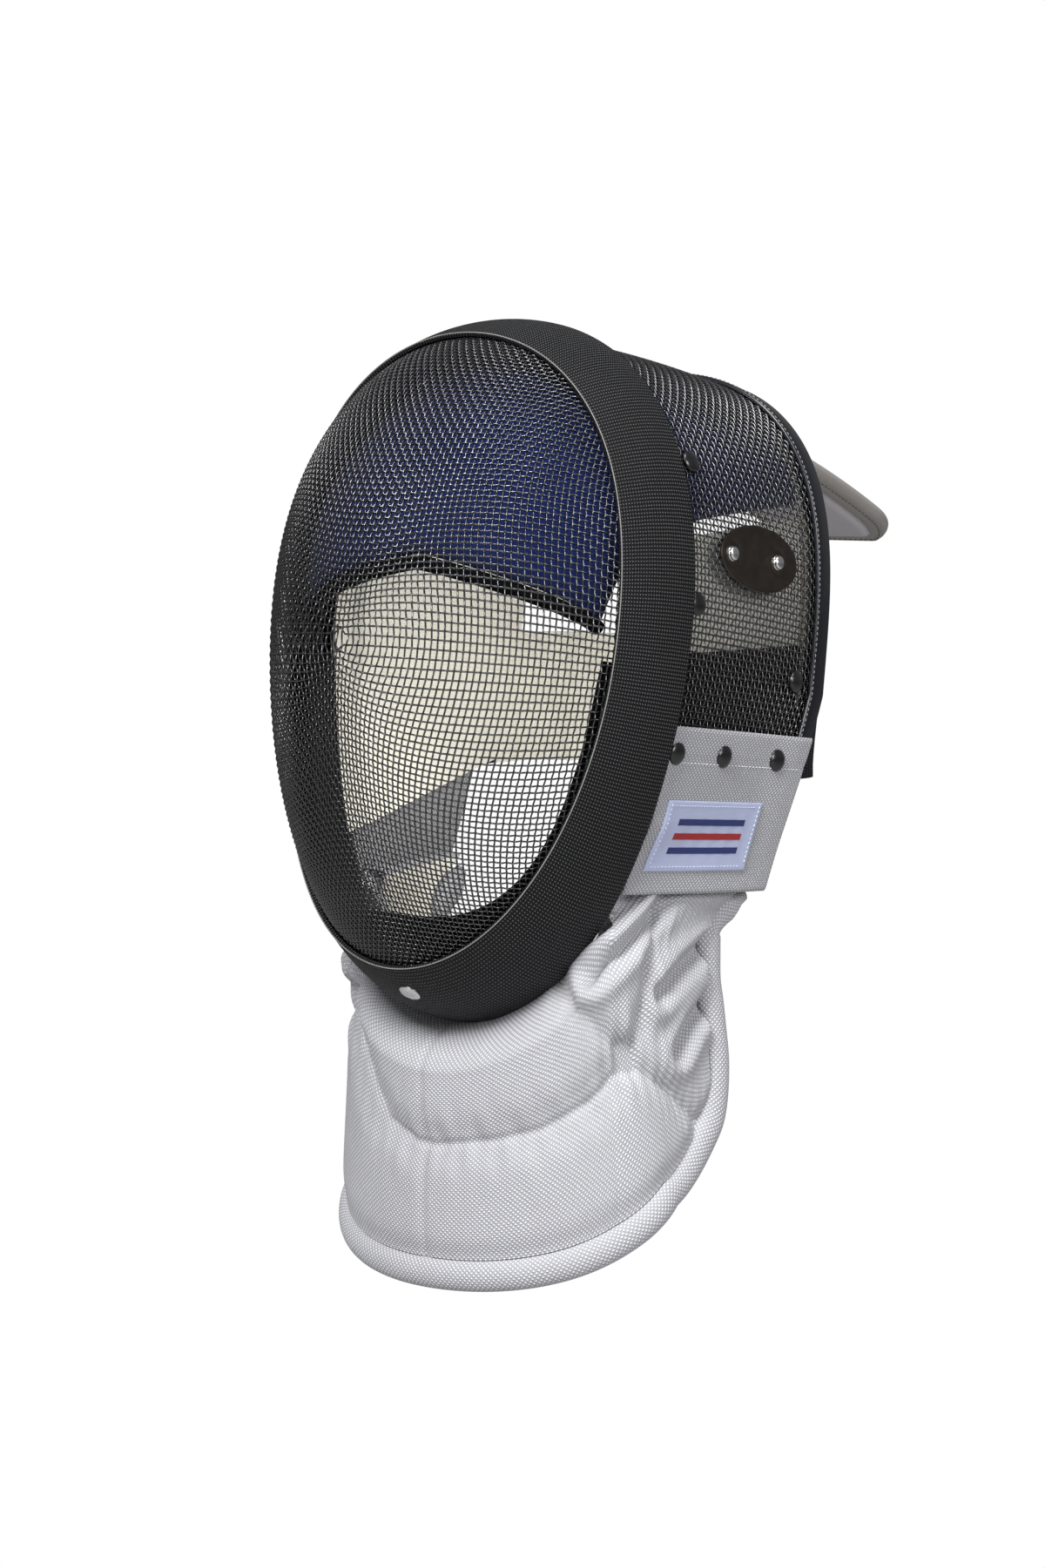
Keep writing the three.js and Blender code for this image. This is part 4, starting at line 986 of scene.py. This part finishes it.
# Rolled hem along the bib's lower edge and up both rear edges
HEM_RISE_STATIONS = 40
HEM_FOOT_STATIONS = 161
HEM_CORNERS = 28
HEM_END_STATIONS = 3
HEM_END_SHARE = 0.5
rise = np.linspace(0.05, 0.83, HEM_RISE_STATIONS)
path_level = np.concatenate([rise, np.full(HEM_FOOT_STATIONS, 0.95), rise[::-1]])
path_station = np.concatenate([
    np.full(HEM_RISE_STATIONS, -1.0), np.linspace(-0.97, 0.97, HEM_FOOT_STATIONS),
    np.full(HEM_RISE_STATIONS, 1.0),
])
hem_normal = normal_of(bib_body, path_level, path_station * 0.98, from_neck)
hem_line = bib_body(path_level, path_station) - hem_normal * BIB_WALL / 2
for _ in range(6):
    for values in (hem_line, hem_normal):
        values[1:-1] = (values[:-2] + 2 * values[1:-1] + values[2:]) / 4
along, hem_normal, _ = frames(hem_line, hem_normal)
down = np.cross(along, hem_normal)
hem_centre = hem_line + down * (HEM_WIDTH / 2 + HEM_GAP - 1.0)
turn = np.linspace(0, 2 * math.pi, HEM_CORNERS, endpoint=False)
from_end = np.minimum(np.arange(len(hem_line)), np.arange(len(hem_line))[::-1])
taper = np.clip(from_end / HEM_END_STATIONS, 0, 1) ** 0.5
taper = np.maximum(taper, HEM_END_SHARE)[:, None, None]
sections = (
    hem_centre[:, None] + down[:, None] * np.cos(turn)[None, :, None] * HEM_WIDTH / 2 * taper
    + hem_normal[:, None] * np.sin(turn)[None, :, None] * HEM_THICKNESS / 2 * taper
)
hem = finish_piece(rings("bib_hem_roll", sections), HEM_CLOTH, "hem_fabric", "bib_hem")

# Tabs, their stitched top hem and rivets
TAB_STITCH_LEVEL = 0.21
TAB_RIVET_LEVEL = TAB_RIVET_DROP / (TAB_TOP - TAB_BOTTOM)


def tab_face(level, reach):
    return tab_body(level, reach, TAB_SEAT + TAB_WALL)


def dark_rivet(name, centre, out):
    lathe(name + "_head", centre, out, rivet_profile(RIVET_DIAMETER / 2), LACQUER, "dark_rivet", name)


for name, hand in (("left", 1), ("right", -1)):
    mirror = np.array([hand, 1, 1])
    u, v, lift = rolled_grid(36, 0.03, 56, 0.02)
    fold = 0.5 * np.exp(-(((u - 0.2) / 0.012) ** 2))
    outer = tab_body(u, v, TAB_SEAT + TAB_WALL / 2 + TAB_WALL / 2 * lift - fold) * mirror
    inner = tab_body(u, v, TAB_SEAT + TAB_WALL / 2 - TAB_WALL / 2 * lift) * mirror
    tab = finish_piece(shell("tab_" + name + "_cloth", outer, inner), SHADED_TAB_CLOTH, "tab_fabric", "tab_" + name)
    reach = np.linspace(0.03, 0.97, 60)
    level = np.full_like(reach, TAB_STITCH_LEVEL)
    line = tab_face(level, reach)
    out = normal_of(tab_face, level, reach, from_head)
    stitches(f"tab_{name}_stitch", line * mirror, out * mirror, SEAM_THREAD, "tab_fabric", 0.24)
    for index, behind in enumerate(TAB_RIVETS):
        reach = np.array((behind - TAB_START) / (TAB_LENGTH - TAB_START))
        centre = tab_face(TAB_RIVET_LEVEL, reach)
        out = normal_of(tab_face, np.array(TAB_RIVET_LEVEL), reach, from_head)
        dark_rivet(f"tab_rivet_{name}_{index + 1}", centre * mirror, out * mirror)
    for index, (behind, above) in enumerate(MESH_RIVETS):
        centre = on_side(behind, above, 0.2)
        out = unit(on_side(behind, above, 1.2) - centre)
        dark_rivet(f"mesh_rivet_{name}_{index + 1}", centre * mirror, out * mirror)


# Chin rivet
def band_outside(row, angle):
    return face_row(row, angle, BAND_WALL / 2)


chin_spot = np.array(CHIN_RIVET_ROW), np.array(math.pi)
r = RIVET_DIAMETER / 2
chin_head = [(r, -0.3), (r, 0.5), (r * 0.9, 1.0), (r * 0.6, 1.5), (0.01, 1.8)]
lathe("chin_rivet_head", band_outside(*chin_spot), normal_of(band_outside, *chin_spot, from_head), chin_head,
      STEEL, "bright_rivet", "chin_rivet")

# Side plate
PLATE_SEGMENTS = 96
PLATE_FLAT_ANGLE = 30
centre = on_side(PLATE_BACK, PLATE_UP, PLATE_LIFT)
along = unit(on_side(PLATE_BACK + 1, PLATE_UP, PLATE_LIFT) - centre)
out = unit(centre - on_side(PLATE_BACK, PLATE_UP, PLATE_LIFT - 1))
over = np.cross(out, along)
turn = np.linspace(0, 2 * math.pi, PLATE_SEGMENTS, endpoint=False)
ellipse = along * np.cos(turn)[:, None] * PLATE_LENGTH / 2 + over * np.sin(turn)[:, None] * PLATE_HEIGHT / 2
steps = [(0.965, 0.0), (1.0, 0.25), (1.0, PLATE_WALL - 0.3), (0.985, PLATE_WALL), (0.93, PLATE_WALL + 0.12),
         (0.86, PLATE_WALL - 0.05), (0.6, PLATE_WALL - 0.05), (0.3, PLATE_WALL - 0.02), (0.01, PLATE_WALL)]
sections = np.stack([centre + ellipse * a + out * b for a, b in steps], 0)
finish_piece(turned("side_plate_disc", sections, PLATE_FLAT_ANGLE), BRONZE, "plate_metal", "side_plate")
r = PLATE_RIVET_DIAMETER / 2
dish = [(r * 2.3, -0.1), (r * 2.1, 0.1), (r * 1.8, 0.22), (r * 1.5, 0.1), (r * 1.15, -0.1), (r * 0.9, -0.12)]
head = [(r * 1.1, -0.1), (r * 1.05, 0.2), (r, 0.3), (r, 1.1), (r * 0.93, 1.6), (r * 0.75, 1.95), (0.01, 2.1)]
for name, hand in (("front", -1), ("rear", 1)):
    spot = centre + along * (PLATE_RIVET_SHIFT + hand * PLATE_RIVET_SPACING / 2) + out * PLATE_WALL
    lathe(f"plate_dish_{name}", spot, out, dish, BRONZE, "plate_metal")
    lathe(f"plate_rivet_{name}_head", spot, out, head, STEEL, "bright_rivet", "plate_rivet_" + name)

# Label with a stitched border and plain bars
label_reach = (LABEL_BACK - TAB_START) / (TAB_LENGTH - TAB_START)
label_level = LABEL_DROP / (TAB_TOP - TAB_BOTTOM)
tab_foot_start = side(np.array(0.0), np.array(BIB_RIM_ANGLE))[1]
mean_width = (TAB_LENGTH - TAB_START + TAB_FOOT_REAR - tab_foot_start) / 2
span_reach = LABEL_LENGTH / mean_width
span_level = LABEL_HEIGHT / (TAB_TOP - TAB_BOTTOM)
LABEL_SEAT = TAB_SEAT + TAB_WALL


def on_label(u, v, distance):
    """A point of the label: u from its top to its bottom edge and v from its front to its rear one."""
    return tab_body(label_level + (u - 0.5) * span_level, label_reach + (v - 0.5) * span_reach, distance)


def label_face(u, v):
    return on_label(u, v, LABEL_SEAT + 1.15)


u, v, lift = rolled_grid(22, 0.04, 40, 0.03)
ripple = 0.12 * np.sin(v * 40) * np.sin(u * 3.1) * lift
outer = on_label(u, v, LABEL_SEAT + 0.25 + 0.95 * lift + ripple)
inner = on_label(u, v, LABEL_SEAT + 0.1)
label = finish_piece(shell("label_patch", outer, inner), SATIN, "label_satin", "label")
t = np.linspace(0.045, 0.955, 40)
borders = {
    "top": (np.full_like(t, 0.07), t), "foot": (np.full_like(t, 0.93), t),
    "front": (t, np.full_like(t, 0.035)), "rear": (t, np.full_like(t, 0.965)),
}
for key, line in borders.items():
    stitches("label_stitch_" + key, label_face(*line), normal_of(label_face, *line, from_head),
             LABEL_THREAD, "label_satin", 0.24, pitch=2.2)
# Three plain stripes of one length: name, material, height down the label
BARS = [("navy_upper", BLUE, 0.3), ("red", RED, 0.5), ("navy_lower", BLUE, 0.7)]
BAR_ENDS = 0.15, 0.85
BAR_WIDTH = 0.09
for key, material, height in BARS:
    width = np.linspace(height - BAR_WIDTH / 2, height + BAR_WIDTH / 2, 5)
    u, v = np.meshgrid(width, np.linspace(*BAR_ENDS, 16), indexing="ij")
    bar = shell("label_bar_" + key, on_label(u, v, LABEL_SEAT + 1.42), on_label(u, v, LABEL_SEAT + 1.0))
    finish_piece(bar, material, "label_satin")

# Inner pads
u, v, lift = rolled_grid(30, 0.06, 60, 0.03)
PAD_MIDDLE = -MESH_WALL - 2 * CLEARANCE - PAD_WALL / 2
crown_share = lerp(CROWN_PAD_START / CROWN_LENGTH, CROWN_PAD_END, u)
crown_angle = lerp(-CROWN_PAD_ANGLE, CROWN_PAD_ANGLE, v)
outer = side_off(crown_share, crown_angle, PAD_MIDDLE + PAD_WALL / 2 * lift)
inner = side_off(crown_share, crown_angle, PAD_MIDDLE - PAD_WALL / 2 * lift)
crown = finish_piece(shell("crown_pad_plush", outer, inner), NAVY, "pad_fabric", "crown_pad")


def forehead(level, across, distance):
    turn = across * math.pi / 2
    bow = 1 - np.cos(turn)
    lower = vec(
        FOREHEAD_HALF_WIDTH * np.sin(turn), lerp(FOREHEAD_FRONT, FOREHEAD_SIDE_BACK, bow),
        lerp(FOREHEAD_EDGE, FOREHEAD_SIDE_EDGE, bow**FOREHEAD_DROOP),
    )
    upper = side_off(
        np.full_like(across, CROWN_PAD_START / CROWN_LENGTH), across * CROWN_PAD_ANGLE, PAD_MIDDLE)
    upper[..., 1] -= FOREHEAD_WALL / 2
    point = lerp(lower, upper, level[..., None])
    swell = FOREHEAD_BULGE * np.maximum(np.sin(level * math.pi), 0) ** 0.8
    out = unit(vec(point[..., 0] * 0.15, -60 * np.cos(turn) - 12, np.full_like(level, 42.0)))
    return point + out * (swell + distance)[..., None]


level, across, lift = rolled_grid(30, 0.05, 70, 0.02)
across = across * 2 - 1
outer = forehead(level, across, FOREHEAD_WALL / 2 * lift)
inner = forehead(level, across, -FOREHEAD_WALL / 2 * lift)
brow = finish_piece(shell("forehead_pad_plush", outer, inner), NAVY, "pad_fabric", "forehead_pad")
across = np.linspace(-1, 1, 80)
zero = np.zeros_like(across)
edge_line = forehead(zero, across, zero)
up = unit(forehead(zero + 0.03, across, zero) - edge_line)
out = unit(forehead(zero, across, zero + 1) - edge_line)
radius = PAD_BINDING_DIAMETER / 2
path = edge_line - up * (radius + 0.6)
binding = finish_piece(
    tube("pad_binding_roll", path, radius, 16, out), BLACK, "black_fabric", "pad_binding")

u, v, lift = rolled_grid(24, 0.06, 70, 0.03)
chin_angle = lerp(math.pi / 2, 3 * math.pi / 2, v)
chin_start = lerp(CHIN_START_SIDE, CHIN_START_CENTRE, np.abs(np.cos(chin_angle)) ** CHIN_START_POWER)
chin_seat = -(BAND_WALL / 2 + CLEARANCE) - MESH_WALL - 3 * CLEARANCE - CHIN_WALL / 2
outer = face_off(lerp(chin_start, CHIN_END, u), chin_angle, chin_seat + CHIN_WALL / 2 * lift)
inner = face_off(lerp(chin_start, CHIN_END, u), chin_angle, chin_seat - CHIN_WALL / 2 * lift)
chin = finish_piece(shell("chin_pad_cloth", outer, inner), BLACK, "black_fabric", "chin_pad")

# Back strap, with a cream tape on its inner face, and the two side linings
STRAP_SEAT = -MESH_WALL - 4 * CLEARANCE - BINDING_WALL
STRAP_ROWS = 12
TAPE_STATIONS = slice(34, -34)
TAPE_GAP = 0.15
TAPE_WALL = 0.6
heights = np.linspace(STRAP_TOP, STRAP_TOP - STRAP_WIDTH, STRAP_ROWS)
b, z = np.meshgrid(np.linspace(STRAP_BACK, STRAP_END, 40), heights, indexing="ij")
line = on_side(b, (z + b * SIN_TILT) / COS_TILT, STRAP_SEAT)
line[..., 2] = z
last = line[-1]
corner_turn = (np.linspace(10, 90, 12) * DEG)[:, None]
corner = vec(
    last[:, 0] - STRAP_CORNER * (1 - np.cos(corner_turn)),
    last[:, 1] + STRAP_CORNER * np.sin(corner_turn),
    heights,
)
corner_out = vec(np.cos(corner_turn), np.sin(corner_turn), np.zeros(STRAP_ROWS))
fraction = np.linspace(1, 0, 16)[1:, None]
behind_head = vec(corner[-1][:, 0] * fraction, corner[-1][1, 1] + STRAP_BOW * (1 - fraction), heights)
half_strap = np.concatenate([line, corner, behind_head])
half_out = np.concatenate([
    np.broadcast_to([1.0, 0, 0], line.shape), corner_out, np.broadcast_to([0, 1.0, 0], behind_head.shape),
])
flip = np.array([-1, 1, 1])
strap_mid = np.concatenate([half_strap, half_strap[-2::-1] * flip])
strap_out = unit(np.concatenate([half_out, half_out[-2::-1] * flip]))


strap_wall = shell("back_strap_webbing", strap_mid, strap_mid - strap_out * STRAP_WALL)
strap = finish_piece(strap_wall, WEBBING, "black_fabric", "back_strap")
tape_out = strap_out[TAPE_STATIONS]
tape_mid = strap_mid[TAPE_STATIONS] - tape_out * (STRAP_WALL + TAPE_GAP)
tape = finish_piece(
    shell("back_strap_tape", tape_mid, tape_mid - tape_out * TAPE_WALL), CREAM, "lining_fabric")

lining_shares = np.concatenate([np.linspace(LINING_FRONT, LINING_FULL_SHARE, 16)[:-1],
                                np.linspace(LINING_FULL_SHARE, 1.0, 36)])
u, v = np.meshgrid(lining_shares, np.linspace(LINING_TOP_ANGLE, SIDE_END_ANGLE + DEG, 60), indexing="ij")
drawn = smooth(u, 0, LINING_FULL_SHARE)
lining_seat = lerp(-MESH_WALL - LINING_SEAT, STRAP_SEAT - STRAP_WALL - 3 * CLEARANCE, drawn)
for name, hand in (("left", 1), ("right", -1)):
    mirror = np.array([hand, 1, 1])
    outer = side_off(u, v, lining_seat) * mirror
    inner = side_off(u, v, lining_seat - LINING_WALL) * mirror
    lining = finish_piece(
        shell(f"lining_{name}_cloth", outer, inner), CREAM, "lining_fabric", "lining_" + name)
    width = lengths(outer, 1)[-1] * 0.01

# Tongue with a stitched border and a raised panel beneath
angles = np.linspace(0, CROWN_PAD_ANGLE, 13)
ceiling_seat = -MESH_WALL - 2 * CLEARANCE - PAD_WALL
ceiling = side_off(np.full_like(angles, TONGUE_START / CROWN_LENGTH), angles, ceiling_seat)
ceiling = ceiling[ceiling[:, 0] < TONGUE_WIDTH / 2 + PAD_WALL]
tongue_y = ceiling[0, 1]
tongue_z = ceiling[:, 2].min() - TONGUE_WALL - TONGUE_SEAT


def tongue_point(share, across, distance):
    run = share * TONGUE_LENGTH
    slope = TONGUE_SLOPE + TONGUE_DROOP * share / 2
    rounding = np.maximum(0, run - (TONGUE_LENGTH - TONGUE_ROUNDING)) / TONGUE_ROUNDING
    half = TONGUE_WIDTH / 2 - TONGUE_ROUNDING * (1 - np.sqrt(np.maximum(0, 1 - rounding**2)))
    return vec(
        across * half,
        tongue_y + run * np.cos(slope) + distance * np.sin(slope),
        tongue_z - run * np.sin(slope) + distance * np.cos(slope),
    )


share, across, lift = rolled_grid(60, 0.02, 26, 0.05)
share = share * 0.999
outer = tongue_point(share, across * 2 - 1, TONGUE_WALL / 2 + TONGUE_WALL / 2 * lift)
inner = tongue_point(share, across * 2 - 1, TONGUE_WALL / 2 - TONGUE_WALL / 2 * lift)
tongue = finish_piece(shell("tongue_flap", outer, inner), TONGUE, "tongue_border", "tongue")
inset = 1 - TONGUE_BORDER / (TONGUE_WIDTH / 2)
stretch = 1 - TONGUE_BORDER / TONGUE_LENGTH
share, across, lift = rolled_grid(50, 0.03, 26, 0.08)
panel_share = lerp(TONGUE_PANEL_START, stretch, share * 0.999)
outer = tongue_point(panel_share, (across * 2 - 1) * inset, 0.2)
inner = tongue_point(panel_share, (across * 2 - 1) * inset, -0.3 - TONGUE_PANEL_WALL * lift)
panel = finish_piece(shell("tongue_panel_pad", outer, inner), PANEL, "tongue_panel", "tongue_panel")
STITCH_START = 0.14
STITCH_END = 0.975
STITCH_DISTANCE = -0.05
edge_in = 1 - 0.45 * TONGUE_BORDER / (TONGUE_WIDTH / 2)
runs = np.linspace(STITCH_START, STITCH_END, 80)
left_line = tongue_point(runs, np.full_like(runs, edge_in), STITCH_DISTANCE)
tip_across = np.linspace(edge_in, -edge_in, 20)[1:-1]
tip_line = tongue_point(np.full_like(tip_across, STITCH_END), tip_across, STITCH_DISTANCE)
stitch_path = np.concatenate([left_line, tip_line, left_line[::-1] * flip])
slope = np.full(len(stitch_path), TONGUE_SLOPE + TONGUE_DROOP / 4)
stitch_down = -vec(0 * slope, np.sin(slope), np.cos(slope))
stitches("tongue_stitch", stitch_path, stitch_down, TONGUE_THREAD, "tongue_border", 0.32, pitch=3.2)

# Floor, light and camera
FLOOR_HEIGHT = -0.62
FLOOR_HALF = 30.0
WORLD_LIGHT = 0.22


def shown_to_camera(tree, lit, seen, output):
    """Joins two shaders: the second is what the camera sees, and the first what lights and reflects."""
    choose = tree.nodes.new("ShaderNodeMixShader")
    rays = tree.nodes.new("ShaderNodeLightPath")
    tree.links.new(rays.outputs["Is Camera Ray"], choose.inputs[0])
    tree.links.new(lit.outputs[0], choose.inputs[1])
    tree.links.new(seen.outputs[0], choose.inputs[2])
    tree.links.new(choose.outputs[0], tree.nodes[output].inputs["Surface"])


mesh = bpy.data.meshes.new("studio_floor")
corners = ((-1, -1), (1, -1), (1, 1), (-1, 1))
mesh.from_pydata([(x * FLOOR_HALF, y * FLOOR_HALF, FLOOR_HEIGHT) for x, y in corners], [], [(0, 1, 2, 3)])
floor = bpy.data.objects.new("studio_floor", mesh)
bpy.context.scene.collection.objects.link(floor)
paper = shader("studio_paper", (0.4, 0.4, 0.4), 0.9, specular=0.0)
paper_tree = paper.node_tree
lit_paper = paper_tree.nodes["Principled BSDF"]
shown_to_camera(paper_tree, lit_paper, node(paper_tree, "ShaderNodeEmission"), "Material Output")
mesh.materials.append(paper)

world = bpy.data.worlds.new("studio")
bpy.context.scene.world = world
world.use_nodes = True
sky = world.node_tree.nodes["Background"]
white = {"Color": (1, 1, 1, 1), "Strength": 1.0}
sky.inputs["Color"].default_value = white["Color"]
sky.inputs["Strength"].default_value = WORLD_LIGHT
shown_to_camera(world.node_tree, sky, node(world.node_tree, "ShaderNodeBackground", white), "World Output")


def area_light(name, place_at, target, size, power, colour=(1, 1, 1)):
    data = bpy.data.lights.new(name, "AREA")
    data.shape = "DISK"
    data.size = size
    data.energy = power
    data.color = colour
    lamp = bpy.data.objects.new(name, data)
    bpy.context.scene.collection.objects.link(lamp)
    lamp.location = place_at
    lamp.rotation_mode = "QUATERNION"
    lamp.rotation_quaternion = (Vector(target) - Vector(place_at)).to_track_quat("-Z", "Y")
    return lamp


area_light("key", (0.35, -1.6, 1.15), (0, -0.05, -0.2), 0.8, 57)
area_light("top", (0.55, -0.3, 1.7), (0, 0, -0.1), 0.7, 16)
area_light("right", (1.8, -0.55, 0.55), (0, 0, -0.2), 0.9, 21)
lamp = area_light("inside", (0.05, -0.045, -0.165), (-0.09, 0.06, -0.195), 0.09, 0.2, (1, 0.985, 0.94))
lamp.visible_camera = False

camera_data = bpy.data.cameras.new("camera")
camera_data.lens = CAMERA_LENS
camera_data.sensor_width = CAMERA_SENSOR
camera_data.clip_start = 0.01
camera_data.clip_end = 100.0
camera = bpy.data.objects.new("camera", camera_data)
bpy.context.scene.collection.objects.link(camera)
shift = CAMERA_SHIFT_RIGHT * CAMERA_RIGHT + CAMERA_SHIFT_UP * CAMERA_UP
spot = (CAMERA_DISTANCE * CAMERA_BACK + shift - ORIGIN) * MM
axes = Matrix((Vector(CAMERA_RIGHT), Vector(CAMERA_UP), Vector(CAMERA_BACK))).transposed()
camera.matrix_world = Matrix.Translation(Vector(spot)) @ axes.to_4x4()
bpy.context.scene.camera = camera
bpy.context.scene.view_settings.view_transform = "Standard"
